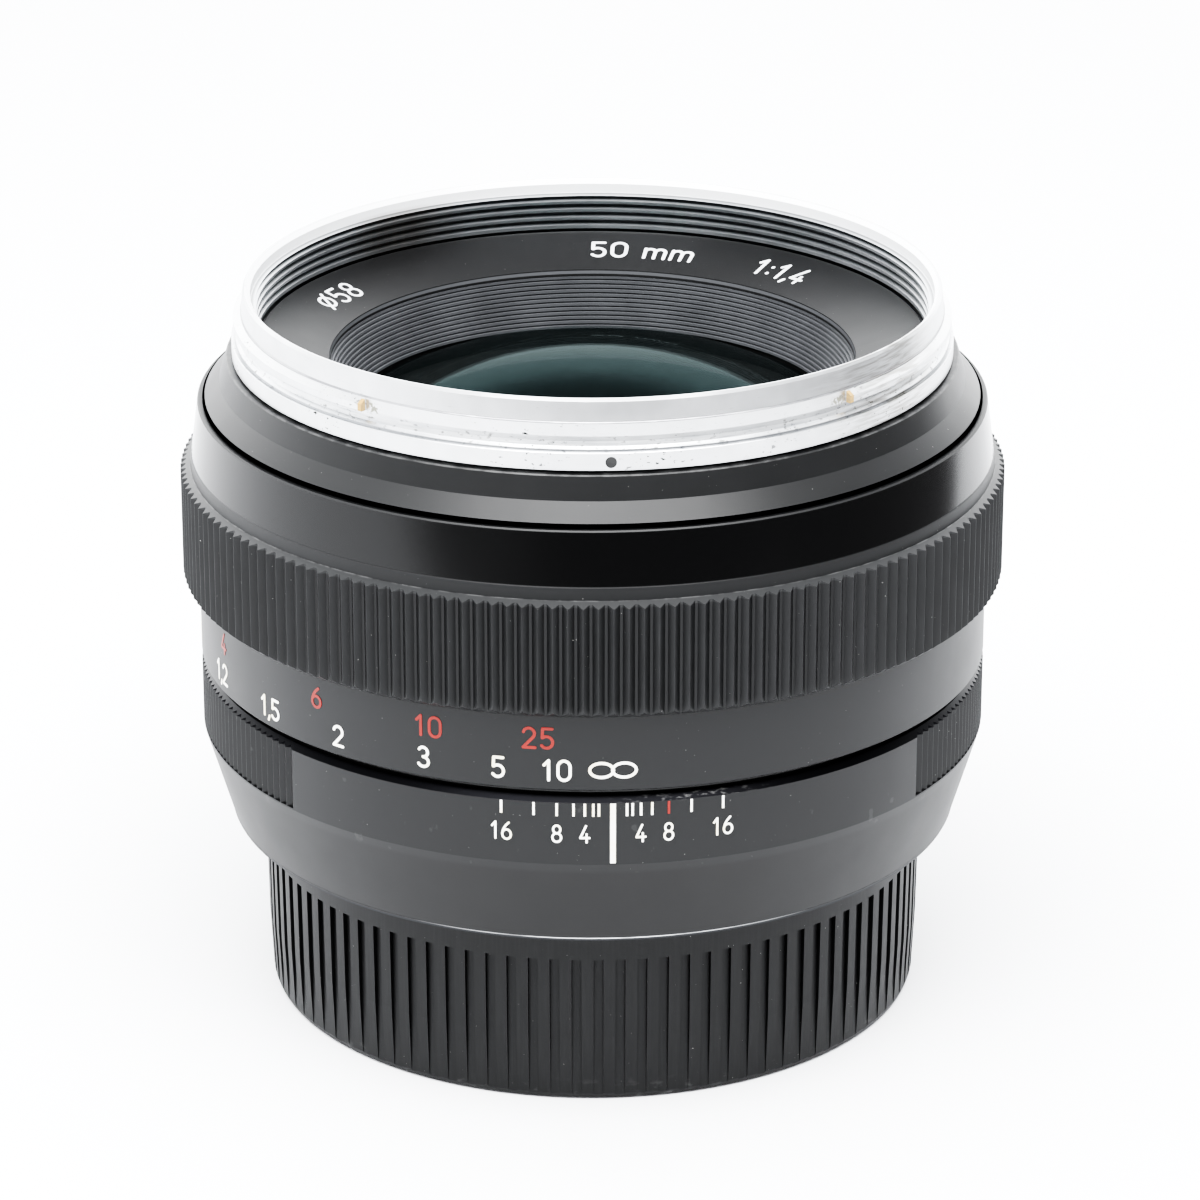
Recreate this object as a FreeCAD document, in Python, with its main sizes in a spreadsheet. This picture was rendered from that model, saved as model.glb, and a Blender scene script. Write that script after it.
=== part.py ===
import FreeCAD, Part
import math
import os

import Sketcher

# A 50 mm f/1.4 manual-focus camera lens standing on its rear cap.
# Millimetres, +Z along the optical axis towards the subject, index mark towards -Y.
# Everything moving is drawn at infinity focus with the iris wide open.

Vector = FreeCAD.Vector
ORIGIN = Vector(0, 0, 0)
UP = Vector(0, 0, 1)

DIMENSIONS = (
    ("barrel_radius", 34.05, "depth-of-field scale cylinder"),
    ("barrel_top", 30.40, "front edge of the fixed barrel"),
    ("taper_top", 24.40, "where the rear taper starts"),
    ("barrel_rear", 16.65, "rear edge of the fixed barrel"),
    ("rear_radius", 31.73, "rear edge radius of the taper"),
    ("flange_height", 16.40, "mounting flange plane"),
    ("bayonet_radius", 25.20, "bayonet tube outside"),
    ("bayonet_bore", 23.90, "bayonet tube inside"),
    ("bayonet_end", 10.40, "rear end of the bayonet tube"),
    ("bayonet_tab_radius", 26.90, "outside of the three bayonet tabs"),
    ("deck_low", 18.40, "underside of the barrel's inner deck"),
    ("deck_high", 20.20, "top of the barrel's inner deck"),
    ("sleeve_radius", 33.20, "outside of the fixed focusing sleeve"),
    ("sleeve_bore", 31.75, "inside of the fixed focusing sleeve"),
    ("sleeve_low", 25.00, "rear end of the fixed focusing sleeve"),
    ("sleeve_high", 45.00, "front end of the fixed focusing sleeve"),
    ("gap", 0.10, "radial clearance of a running fit"),
    ("grip_radius", 35.45, "crests of the knurled grip"),
    ("grip_depth", 0.45, "depth of the knurl"),
    ("grip_low", 38.40, "rear end of the knurl crests"),
    ("grip_high", 47.47, "front end of the knurl crests"),
    ("ring_low", 30.98, "rear edge of the focus ring"),
    ("ring_high", 53.60, "front edge of the focus ring"),
    ("ring_front_radius", 33.85, "front edge radius of the focus ring"),
    ("band_low", 49.04, "rear edge of the ring's glossy band"),
    ("band_radius", 34.49, "rear edge radius of the glossy band"),
    ("shoulder", 48.00, "shoulder inside the focus ring"),
    ("ring_front_bore", 33.00, "focus ring bore ahead of the shoulder"),
    ("helicoid_bore", 30.00, "inside of the brass helicoid"),
    ("helicoid_low", 26.00, "rear end of the brass helicoid"),
    ("tube_bore", 28.40, "inside of the head tube"),
    ("tube_low", 22.20, "rear end of the head tube"),
    ("head_flange_low", 48.05, "thrust face of the head flange"),
    ("head_flange_high", 49.65, "front face of the head flange"),
    ("key_width", 4.00, "width of the straight-travel keys"),
    ("front_edge_radius", 31.25, "front edge radius of the front barrel"),
    ("front_edge", 57.40, "front edge of the front barrel"),
    ("spigot_radius", 30.20, "outside of the filter ring's threaded spigot"),
    ("spigot_low", 51.20, "rear end of the filter ring"),
    ("rim_low", 57.56, "rear edge of the chrome flange"),
    ("rim_radius", 30.80, "outside of the chrome flange"),
    ("rim_high", 63.34, "front edge of the filter ring"),
    ("thread_crest", 28.60, "crest radius of the M58 filter thread"),
    ("thread_root", 29.02, "root radius of the M58 filter thread"),
    ("thread_pitch", 0.75, "pitch of the filter thread"),
    ("hood_tab_radius", 30.60, "outside of the two hood tabs"),
    ("name_inner", 22.40, "inner radius of the name ring"),
    ("name_outer", 28.45, "outer radius of the name ring"),
    ("baffle_rear", 20.45, "inner radius at the rear of the ribbed baffle"),
    ("cell_radius", 28.35, "outside of the front cell"),
    ("cell_skirt_low", 29.00, "joint between the front and rear cells"),
    ("rear_tube_radius", 17.40, "outside of the rear cell tube"),
    ("rear_end", 9.90, "rear end of the rear cell"),
    ("stop_radius", 13.30, "wide-open iris radius"),
    ("pivot_circle", 19.60, "circle of the blade pivots"),
    ("pin_radius", 0.40, "blade pin radius"),
    ("blade_thickness", 0.12, "thickness of an iris blade"),
    ("blade_step", 0.17, "height from one blade to the next"),
    ("blade_floor", 32.35, "underside of the first blade"),
    ("iris_ring_low", 34.00, "rear face of the iris ring"),
    ("iris_ring_high", 35.00, "front face of the iris ring"),
    ("iris_ring_radius", 23.10, "tooth tips of the iris ring"),
    ("gear_module", 0.30, "tooth module of the iris drive"),
    ("motor_radius", 2.60, "radius of the aperture motor"),
    ("motor_circle", 24.60, "distance of the motor from the axis"),
    ("cap_radius", 28.80, "outside of the rear cap"),
    ("cap_cavity", 27.20, "inside of the rear cap"),
    ("cap_top", 16.30, "front edge of the rear cap"),
    ("cap_floor", 1.70, "top of the rear cap's floor"),
    ("cap_rib_top", 13.20, "upper ends of the rear cap's grooves"),
    ("cap_rib_depth", 0.38, "depth of the rear cap's grooves"),
)

GRIP_TEETH = 180
BARREL_GRIP_TEETH = 240
BARREL_GRIP_GROOVES = 53
CAP_RIBS = 98
BLADES = 9
FOCUS_THROW = 234.0
MOTOR_ANGLE = 90.0
IRIS_RING_TURN = 22.0
BLADE_TURN = 36.1
RING_TEETH = 152
PINION_TEETH = 12

doc = FreeCAD.newDocument("PrimeLens")
sheet = doc.addObject("Spreadsheet::Sheet", "Dimensions")
nodes = []


class Size:
    """A length with its value and the spreadsheet expression that gives it."""

    def __init__(self, value, text):
        self.value = value
        self.text = text

    def combine(self, sign, other):
        if isinstance(other, Size):
            value = other.value
            text = other.text
        else:
            value = other
            text = repr(other)
        total = self.value + value if sign == "+" else self.value - value
        return Size(total, "(%s %s %s)" % (self.text, sign, text))

    def __add__(self, other):
        return self.combine("+", other)

    def __sub__(self, other):
        return self.combine("-", other)

    def __neg__(self):
        return Size(-self.value, "(-1 * %s)" % self.text)


class Sizes:
    """The driving dimensions by name."""


def fill_sheet():
    sizes = Sizes()
    for row, (name, value, meaning) in enumerate(DIMENSIONS, start=1):
        sheet.set("A%d" % row, meaning)
        sheet.set("B%d" % row, str(value))
        sheet.setAlias("B%d" % row, name)
        setattr(sizes, name, Size(value, "Dimensions.%s" % name))
    doc.recompute()
    return sizes


def number(size):
    """The plain value of a size or a number."""
    return size.value if isinstance(size, Size) else float(size)


def node(feature, label):
    """Name a finished sub-part and list it for export."""
    feature.Label = label
    nodes.append(feature)
    return feature


def plane(body, role):
    for datum in body.Origin.OriginFeatures:
        if datum.Role == role:
            return datum


def new_sketch(body, role, name):
    sketch = body.newObject("Sketcher::SketchObject", name)
    sketch.AttachmentSupport = [(plane(body, role), "")]
    sketch.MapMode = "FlatFace"
    return sketch


def place_point(sketch, geometry, point, horizontal, vertical):
    """Fix one vertex by its two distances from the sketch origin."""
    for kind, size, axis in (("DistanceX", horizontal, -2), ("DistanceY", vertical, -1)):
        if number(size) == 0:
            sketch.addConstraint(Sketcher.Constraint("PointOnObject", geometry, point, axis))
            continue
        constraint = Sketcher.Constraint(kind, -1, 1, geometry, point, number(size))
        index = sketch.addConstraint(constraint)
        if isinstance(size, Size):
            sketch.setExpression("Constraints[%d]" % index, size.text)


def draw_outline(sketch, points):
    """Draw a closed outline of straight runs through (horizontal, vertical) points."""
    corners = [Vector(number(a), number(b), 0) for a, b in points]
    count = len(corners)
    for index in range(count):
        line = Part.LineSegment(corners[index], corners[(index + 1) % count])
        sketch.addGeometry(line, False)
    for index in range(count):
        following = (index + 1) % count
        sketch.addConstraint(Sketcher.Constraint("Coincident", index, 2, following, 1))
    for index, (horizontal, vertical) in enumerate(points):
        place_point(sketch, index, 1, horizontal, vertical)


def turned_body(label, points):
    """A part turned about Z from its (radius, height) outline."""
    body = doc.addObject("PartDesign::Body", label)
    sketch = new_sketch(body, "XZ_Plane", label + "_outline")
    draw_outline(sketch, points)
    turning = body.newObject("PartDesign::Revolution", label + "_turning")
    turning.Profile = sketch
    turning.ReferenceAxis = (sketch, ["V_Axis"])
    turning.Angle = 360.0
    doc.recompute()
    return body


def turned(label, points):
    return node(turned_body(label, points), label)


def lens_element(label, front, rear, rim, front_clear=None, rear_clear=None):
    """A glass element from its (vertex height, signed radius) surfaces.

    A positive radius has its centre behind the surface, a negative one in front.
    A surface with a clear radius smaller than the rim ends in a flat annulus.
    """
    body = doc.addObject("PartDesign::Body", label)
    sketch = new_sketch(body, "XZ_Plane", label + "_outline")
    ends = []
    for (vertex, radius), clear in ((front, front_clear), (rear, rear_clear)):
        reach = clear if clear else rim
        size = abs(radius)
        sag = size - math.sqrt(size * size - reach * reach)
        edge = vertex - sag if radius > 0 else vertex + sag
        centre = Vector(0, vertex - radius, 0)
        tilt = math.asin(reach / size)
        circle = Part.Circle(centre, Vector(0, 0, 1), size)
        if radius > 0:
            arc = Part.ArcOfCircle(circle, math.pi / 2 - tilt, math.pi / 2)
            apex, outer = 2, 1
        else:
            arc = Part.ArcOfCircle(circle, -math.pi / 2, -math.pi / 2 + tilt)
            apex, outer = 1, 2
        index = sketch.addGeometry(arc, False)
        sketch.addConstraint(Sketcher.Constraint("PointOnObject", index, 3, -2))
        sketch.addConstraint(Sketcher.Constraint("PointOnObject", index, apex, -2))
        sketch.addConstraint(Sketcher.Constraint("Radius", index, size))
        sketch.addConstraint(Sketcher.Constraint("DistanceY", -1, 1, index, apex, vertex))
        sketch.addConstraint(Sketcher.Constraint("DistanceX", -1, 1, index, outer, reach))
        ends.append((index, apex, outer, reach, edge))
        if clear:
            flat = Part.LineSegment(Vector(reach, edge, 0), Vector(rim, edge, 0))
            line = sketch.addGeometry(flat, False)
            sketch.addConstraint(Sketcher.Constraint("Coincident", index, outer, line, 1))
            sketch.addConstraint(Sketcher.Constraint("Horizontal", line))
            sketch.addConstraint(Sketcher.Constraint("DistanceX", -1, 1, line, 2, rim))
            ends[-1] = (index, apex, (line, 2), rim, edge)
    rim_points = []
    for index, apex, outer, reach, edge in ends:
        rim_points.append(outer if isinstance(outer, tuple) else (index, outer))
    wall = Part.LineSegment(Vector(rim, ends[0][4], 0), Vector(rim, ends[1][4], 0))
    edge_line = sketch.addGeometry(wall, False)
    axis_line = sketch.addGeometry(Part.LineSegment(Vector(0, rear[0], 0), Vector(0, front[0], 0)), False)
    sketch.addConstraint(Sketcher.Constraint("Coincident", edge_line, 1, *rim_points[0]))
    sketch.addConstraint(Sketcher.Constraint("Coincident", edge_line, 2, *rim_points[1]))
    sketch.addConstraint(Sketcher.Constraint("Coincident", axis_line, 1, ends[1][0], ends[1][1]))
    sketch.addConstraint(Sketcher.Constraint("Coincident", axis_line, 2, ends[0][0], ends[0][1]))
    turning = body.newObject("PartDesign::Revolution", label + "_turning")
    turning.Profile = sketch
    turning.ReferenceAxis = (sketch, ["V_Axis"])
    turning.Angle = 360.0
    doc.recompute()
    return node(body, label)


def draw_circle(sketch, distance, radius, across=0.0):
    """Draw a circle out along the sketch's horizontal axis, and perhaps off to one side."""
    circle = Part.Circle(Vector(number(distance), across, 0), UP, number(radius))
    index = sketch.addGeometry(circle, False)
    place_point(sketch, index, 3, distance, across)
    width = sketch.addConstraint(Sketcher.Constraint("Radius", index, number(radius)))
    if isinstance(radius, Size):
        sketch.setExpression("Constraints[%d]" % width, radius.text)


def extrude(kind, body, name, draw, base, length, count=1, first=0.0):
    """Pad or pocket upwards from a height, turned to a first angle and repeated round the axis."""
    sketch = new_sketch(body, "XY_Plane", name + "_outline")
    sketch.AttachmentOffset = FreeCAD.Placement(Vector(0, 0, number(base)), FreeCAD.Rotation(UP, first))
    draw(sketch)
    before = 0.0 if body.Shape.isNull() else body.Shape.Volume
    feature = body.newObject("PartDesign::" + kind, name)
    feature.Profile = sketch
    feature.Length = number(length)
    feature.Reversed = kind == "Pocket"
    body.Tip = feature
    if count > 1:
        pattern = body.newObject("PartDesign::PolarPattern", name + "_pattern")
        pattern.Originals = [feature]
        pattern.Axis = (sketch, ["N_Axis"])
        pattern.Angle = 360.0
        pattern.Occurrences = count
        body.Tip = pattern
    doc.recompute()
    change = body.Shape.Volume - before
    if (change < 0.001 and kind == "Pad") or (change > -0.001 and kind == "Pocket"):
        raise RuntimeError("%s changed nothing" % name)


def rectangle(near, far, half_width):
    """Corners of a rectangle across the horizontal axis."""
    return [(near, -half_width), (far, -half_width), (far, half_width), (near, half_width)]


def solid_node(label, shape):
    feature = doc.addObject("Part::Feature", label)
    feature.Shape = shape
    return node(feature, label)


def helper(label, shape):
    """A tool shape that a boolean feature uses."""
    feature = doc.addObject("Part::Feature", label)
    feature.Shape = shape
    return feature


def cut_node(label, base, tool):
    result = doc.addObject("Part::Cut", label)
    result.Base = base
    result.Tool = tool
    doc.recompute()
    return node(result, label)


def polar(radius, degrees, height=0.0):
    angle = math.radians(degrees)
    return Vector(radius * math.cos(angle), radius * math.sin(angle), height)


def prism(points, low, high):
    """A straight prism on a closed polygon of points."""
    corners = [Vector(p.x, p.y, low) for p in points]
    wire = Part.makePolygon(corners + corners[:1])
    return Part.Face(wire).extrude(Vector(0, 0, high - low))


def spin(points):
    """A solid turned about Z from a (radius, height) outline."""
    corners = [Vector(r, 0, z) for r, z in points]
    face = Part.Face(Part.makePolygon(corners + corners[:1]))
    return face.revolve(ORIGIN, UP, 360)


def sector(inner, outer, start, sweep, low, high):
    """Part of a flat ring, from a start angle through a sweep in degrees."""
    corners = [Vector(inner, 0, low), Vector(outer, 0, low), Vector(outer, 0, high), Vector(inner, 0, high)]
    face = Part.Face(Part.makePolygon(corners + corners[:1]))
    face.rotate(ORIGIN, UP, start)
    return face.revolve(ORIGIN, UP, sweep)


def ring_of(shape, count, first=0.0):
    """Copies of a solid spaced evenly round the axis."""
    copies = []
    for index in range(count):
        copy = shape.copy()
        copy.rotate(ORIGIN, UP, first + 360.0 * index / count)
        copies.append(copy)
    return Part.makeCompound(copies)


def screw(head_radius, head_height, shank_radius, shank_length, slot_depth):
    """A slotted screw with its head on the origin plane, head up and shank down."""
    head = Part.makeCylinder(head_radius, head_height)
    shank = Part.makeCylinder(shank_radius, shank_length, Vector(0, 0, -shank_length))
    slot_width = head_radius * 0.3
    corner = Vector(-head_radius, -slot_width / 2, head_height - slot_depth)
    slot = Part.makeBox(2 * head_radius, slot_width, slot_depth, corner)
    return head.fuse(shank).cut(slot)


S = fill_sheet()


# ---------------------------------------------------------------- fixed barrel

BARREL_GRIP_START = 50.25
BARREL_GRIP_DEPTH = 0.28
BARREL_CHAMFER = 0.50


def fixed_barrel():
    blank = turned_body("fixed_barrel_blank", [
        (30.60, S.barrel_rear),
        (S.rear_radius, S.barrel_rear),
        (S.barrel_radius, S.taper_top),
        (S.barrel_radius, S.barrel_top - BARREL_CHAMFER),
        (S.barrel_radius - BARREL_CHAMFER, S.barrel_top),
        (S.sleeve_radius, S.barrel_top),
        (S.sleeve_radius, S.sleeve_low),
        (31.20, S.sleeve_low),
        (31.20, S.deck_high),
        (26.20, S.deck_high),
        (26.20, S.deck_low),
        (30.60, S.deck_low),
    ])
    pitch = 360.0 / BARREL_GRIP_TEETH
    radius = number(S.barrel_radius)
    low = number(S.taper_top) + 0.15
    high = number(S.barrel_top) + 0.1
    grooves = []
    for side in (-90.0 + BARREL_GRIP_START, 90.0 + BARREL_GRIP_START):
        zigzag = []
        for index in range(BARREL_GRIP_GROOVES):
            start = side + index * pitch
            zigzag.append(polar(radius + 0.01, start))
            zigzag.append(polar(radius - BARREL_GRIP_DEPTH, start + pitch / 2))
        zigzag.append(polar(radius + 0.01, side + BARREL_GRIP_GROOVES * pitch))
        for index in range(BARREL_GRIP_GROOVES, -1, -1):
            zigzag.append(polar(radius + 1.0, side + index * pitch))
        grooves.append(prism(zigzag, low, high))
    tool = helper("fixed_barrel_grip_grooves", Part.makeCompound(grooves))
    return cut_node("fixed_barrel", blank, tool)


def guide_sleeve():
    return turned("guide_sleeve", [
        (S.sleeve_bore, S.sleeve_low),
        (S.sleeve_radius, S.sleeve_low),
        (S.sleeve_radius, S.sleeve_high - 0.3),
        (S.sleeve_radius - 0.3, S.sleeve_high),
        (S.sleeve_bore, S.sleeve_high),
    ])


KEY_FOOT_HEIGHT = 1.2
KEY_FOOT_HALF_WIDTH = 4.5
KEY_TOP = 37.0
KEY_SCREW_CIRCLE = 29.0
KEY_SCREW_OFFSET = 3.3
KEY_SIDES = (("left", 180.0), ("right", 0.0))


def guide_key(side, angle):
    """A post that keeps the head from turning, on a foot screwed to the deck."""
    body = doc.addObject("PartDesign::Body", "guide_key_" + side)
    half = S.key_width - 2.0
    extrude("Pad", body, side + "_foot", lambda sketch: draw_outline(
        sketch, rectangle(27.0, 30.7, KEY_FOOT_HALF_WIDTH)), S.deck_high, KEY_FOOT_HEIGHT)
    extrude("Pad", body, side + "_post", lambda sketch: draw_outline(
        sketch, rectangle(S.cell_radius + 0.2, S.helicoid_bore - 0.25, half)),
        S.deck_high, KEY_TOP - number(S.deck_high))
    for name, across in (("near", -KEY_SCREW_OFFSET), ("far", KEY_SCREW_OFFSET)):
        extrude("Pocket", body, "%s_%s_hole" % (side, name), lambda sketch: draw_circle(
            sketch, KEY_SCREW_CIRCLE, 0.62, across), S.deck_high - 0.1, KEY_FOOT_HEIGHT + 0.2)
    body.Placement = FreeCAD.Placement(ORIGIN, FreeCAD.Rotation(UP, angle))
    return node(body, "guide_key_" + side)


def key_screws():
    fastener = screw(0.95, 0.6, 0.60, KEY_FOOT_HEIGHT, 0.3)
    pair = []
    for across in (-KEY_SCREW_OFFSET, KEY_SCREW_OFFSET):
        one = fastener.copy()
        one.translate(Vector(KEY_SCREW_CIRCLE, across, number(S.deck_high) + KEY_FOOT_HEIGHT))
        pair.append(one)
    solid_node("guide_key_screws", Part.makeCompound(ring_of(Part.makeCompound(pair), 2).Solids))


# ------------------------------------------------------------------ lens mount

BAYONET_TABS = 3
BAYONET_TAB_SPAN = 56.0
BAYONET_TAB_LOW = 11.40
BAYONET_TAB_HIGH = 13.00
FIRST_BAYONET_TAB = 30.0
MOUNT_SCREWS = 4
MOUNT_SCREW_CIRCLE = 29.10
MOUNT_SCREW_HEAD = 1.30
CONTACTS = 8
CONTACT_STEP = 8.6
CONTACT_CENTRE = 90.0


def bayonet_mount():
    blank = turned_body("bayonet_mount_blank", [
        (S.bayonet_bore, S.bayonet_end),
        (S.bayonet_radius - 0.3, S.bayonet_end),
        (S.bayonet_radius, S.bayonet_end + 0.3),
        (S.bayonet_radius, S.flange_height),
        (S.rear_radius - 0.08, S.flange_height),
        (S.rear_radius - 0.08, S.barrel_rear),
        (30.60, S.barrel_rear),
        (30.60, S.deck_low),
        (S.bayonet_bore, S.deck_low),
    ])
    tab = sector(number(S.bayonet_bore) + 0.5, number(S.bayonet_tab_radius), -BAYONET_TAB_SPAN / 2,
                 BAYONET_TAB_SPAN, BAYONET_TAB_LOW, BAYONET_TAB_HIGH)
    tabs = helper("bayonet_tabs", ring_of(tab, BAYONET_TABS, FIRST_BAYONET_TAB))
    joined = doc.addObject("Part::MultiFuse", "bayonet_mount_joined")
    joined.Shapes = [blank, tabs]
    flange = number(S.flange_height)
    countersink = Part.makeCone(MOUNT_SCREW_HEAD, 0.7, 0.9, Vector(MOUNT_SCREW_CIRCLE, 0, flange))
    shank = Part.makeCylinder(0.7, 3.0, Vector(MOUNT_SCREW_CIRCLE, 0, flange - 0.01))
    holes = helper("mount_screw_holes", ring_of(countersink.fuse(shank), MOUNT_SCREWS, 45.0))
    return cut_node("bayonet_mount", joined, holes)


def mount_screws():
    flange = number(S.flange_height)
    head = Part.makeCone(MOUNT_SCREW_HEAD - 0.02, 0.66, 0.88, Vector(MOUNT_SCREW_CIRCLE, 0, flange + 0.02))
    shank = Part.makeCylinder(0.66, 1.9, Vector(MOUNT_SCREW_CIRCLE, 0, flange + 0.02))
    slot = Part.makeBox(2.6, 0.36, 0.35, Vector(MOUNT_SCREW_CIRCLE - 1.3, -0.18, flange))
    one = head.fuse(shank).cut(slot)
    solid_node("mount_screws", ring_of(one, MOUNT_SCREWS, 45.0))


def contacts():
    span = CONTACT_STEP * CONTACTS + 4.0
    start = CONTACT_CENTRE - span / 2
    bore = number(S.bayonet_bore)
    end = number(S.bayonet_end) + 0.5
    block = sector(18.60, bore, start, span, end, 14.60)
    pins = []
    for index in range(CONTACTS):
        angle = CONTACT_CENTRE + (index - (CONTACTS - 1) / 2) * CONTACT_STEP
        well = Part.makeCylinder(0.95, 2.0, polar(21.6, angle, end))
        block = block.cut(well)
        stem = Part.makeCylinder(0.93, 1.9, polar(21.6, angle, end + 0.1))
        tip = Part.makeSphere(0.80, polar(21.6, angle, end + 0.25))
        pins.append(stem.fuse(tip))
    solid_node("contact_block", block)
    solid_node("contact_pins", Part.makeCompound(pins))


def rear_light_shield():
    return turned("rear_light_shield", [
        (17.90, 14.60),
        (S.bayonet_bore, 14.60),
        (S.bayonet_bore, 15.60),
        (19.00, 15.60),
        (18.40, 16.40),
        (17.90, 16.40),
    ])


BOARD_LOW = 18.40
BOARD_THICKNESS = 0.8


def electronics():
    board = sector(18.60, 26.10, -200.0, 250.0, BOARD_LOW, BOARD_LOW + BOARD_THICKNESS)
    solid_node("circuit_board", board)
    top = BOARD_LOW + BOARD_THICKNESS
    chips = []
    for angle, length, width, height in ((-160, 4.5, 4.5, 0.9), (-120, 3.0, 5.0, 0.7), (-90, 2.0, 3.0, 0.8),
                                         (-60, 3.5, 3.5, 0.9), (-30, 1.2, 2.0, 0.6), (0, 1.2, 2.0, 0.6)):
        chip = Part.makeBox(width, length, height, Vector(22.3 - width / 2, -length / 2, top))
        chip.rotate(ORIGIN, UP, angle)
        chips.append(chip)
    solid_node("board_chips", Part.makeCompound(chips))


# ------------------------------------------------------------------ focus ring

def knurl_cutter(radius, depth, teeth, outside, low, high):
    """Everything outside a ring of V grooves, as a tool to cut a knurl."""
    pitch = 360.0 / teeth
    flat = 0.10 * pitch
    corners = []
    for index in range(teeth):
        crest = index * pitch
        corners.append(polar(radius + 0.02, crest))
        corners.append(polar(radius - depth, crest + pitch / 2 - flat))
        corners.append(polar(radius - depth, crest + pitch / 2 + flat))
    star = prism(corners, low, high)
    disc = Part.makeCylinder(outside, high - low, Vector(0, 0, low))
    return disc.cut(star)


def focus_ring():
    blank = turned_body("focus_ring_blank", [
        (S.sleeve_radius + S.gap, S.ring_low + 0.1),
        (S.sleeve_radius + S.gap + 0.1, S.ring_low),
        (S.barrel_radius - 0.12, S.ring_low),
        (S.barrel_radius, S.ring_low + 0.12),
        (S.barrel_radius, S.grip_low - 0.60),
        (S.grip_radius - S.grip_depth - 0.25, S.grip_low - 0.60),
        (S.grip_radius, S.grip_low),
        (S.grip_radius, S.grip_high),
        (34.60, S.grip_high + 0.43),
        (S.band_radius + 0.02, S.band_low - 0.12),
        (S.band_radius - 0.05, S.band_low),
        (S.ring_front_radius, S.ring_high - 0.12),
        (S.ring_front_radius - 0.12, S.ring_high),
        (S.ring_front_bore, S.ring_high),
        (S.ring_front_bore, S.shoulder),
        (S.sleeve_radius + S.gap, S.shoulder),
    ])
    cutter = knurl_cutter(number(S.grip_radius), number(S.grip_depth), GRIP_TEETH, 37.0,
                          number(S.grip_low) - 0.55, number(S.grip_high) + 0.6)
    return cut_node("focus_ring", blank, helper("focus_ring_knurl", cutter))


def helicoid():
    return turned("helicoid", [
        (S.helicoid_bore, S.helicoid_low),
        (S.sleeve_bore - S.gap, S.helicoid_low),
        (S.sleeve_bore - S.gap, 45.80),
        (S.sleeve_radius + S.gap, 45.80),
        (S.sleeve_radius + S.gap, S.shoulder),
        (S.helicoid_bore, S.shoulder),
    ])


RETAINER_BORE = 32.20
RETAINER_LOW = 49.75
RETAINER_HIGH = 50.75
STOP_LUG_SPAN = 8.0
STOP_PLAY = 1.0
STOP_LUG_ANGLE = 90.0


def ring_retainer():
    blank = turned_body("ring_retainer_ring", [
        (RETAINER_BORE, RETAINER_LOW),
        (S.ring_front_bore, RETAINER_LOW),
        (S.ring_front_bore, RETAINER_HIGH),
        (RETAINER_BORE, RETAINER_HIGH),
    ])
    lug = sector(31.30, RETAINER_BORE + 0.4, STOP_LUG_ANGLE - STOP_LUG_SPAN / 2, STOP_LUG_SPAN,
                 RETAINER_LOW, RETAINER_HIGH)
    joined = doc.addObject("Part::MultiFuse", "ring_retainer")
    joined.Shapes = [blank, helper("ring_retainer_stop_lug", lug)]
    doc.recompute()
    return node(joined, "ring_retainer")


# ------------------------------------------------------------------- lens head

def head_tube():
    body = turned_body("head_tube", [
        (S.tube_bore, S.tube_low),
        (S.helicoid_bore - S.gap, S.tube_low),
        (S.helicoid_bore - S.gap, S.head_flange_low),
        (S.ring_front_bore - S.gap, S.head_flange_low),
        (S.ring_front_bore - S.gap, S.head_flange_high),
        (S.tube_bore, S.head_flange_high),
    ])
    extrude("Pocket", body, "key_slot", lambda sketch: draw_outline(
        sketch, rectangle(27.5, 31.0, S.key_width - 2.0 + S.gap)), S.tube_low - 0.5, 16.0, count=2)
    return node(body, "head_tube")


STOP_INNER = 31.15
STOP_OUTER = 32.10
STOP_HEIGHT = 1.35


def focus_stop():
    """The block that the ring's stop lug meets at both ends of the focus throw."""
    span = 360.0 - FOCUS_THROW - STOP_LUG_SPAN - STOP_PLAY
    start = STOP_LUG_ANGLE - STOP_LUG_SPAN / 2 - STOP_PLAY / 2 - span
    low = number(S.head_flange_high)
    block = sector(STOP_INNER, STOP_OUTER, start, span, low, low + STOP_HEIGHT)
    solid_node("focus_stop", block)


def front_barrel():
    return turned("front_barrel", [
        (29.20, S.head_flange_high),
        (31.05, S.head_flange_high),
        (31.05, 51.60),
        (32.60, 51.60),
        (32.60, 53.75),
        (33.30, 53.75),
        (33.30, 53.87),
        (31.92, 55.42),
        (S.front_edge_radius + 0.06, S.front_edge - 0.10),
        (S.front_edge_radius - 0.05, S.front_edge),
        (S.spigot_radius, S.front_edge),
        (S.spigot_radius, S.spigot_low),
        (29.20, S.spigot_low),
    ])


HOOD_TAB_SPAN = 98.7
HOOD_TAB_LOW = 60.25
HOOD_TAB_HIGH = 61.25
HOOD_SEAT_RADIUS = 30.00
FLANGE_TOP = 59.12
THREAD_TURNS = 4
THREAD_LOW = 59.10
THREAD_MOUTH = 0.26
RUN_OUT_LOW = 57.95
RUN_OUT_HIGH = 58.90
NAME_RING_SEAT = 28.50
CELL_SEAT = 52.40


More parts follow.
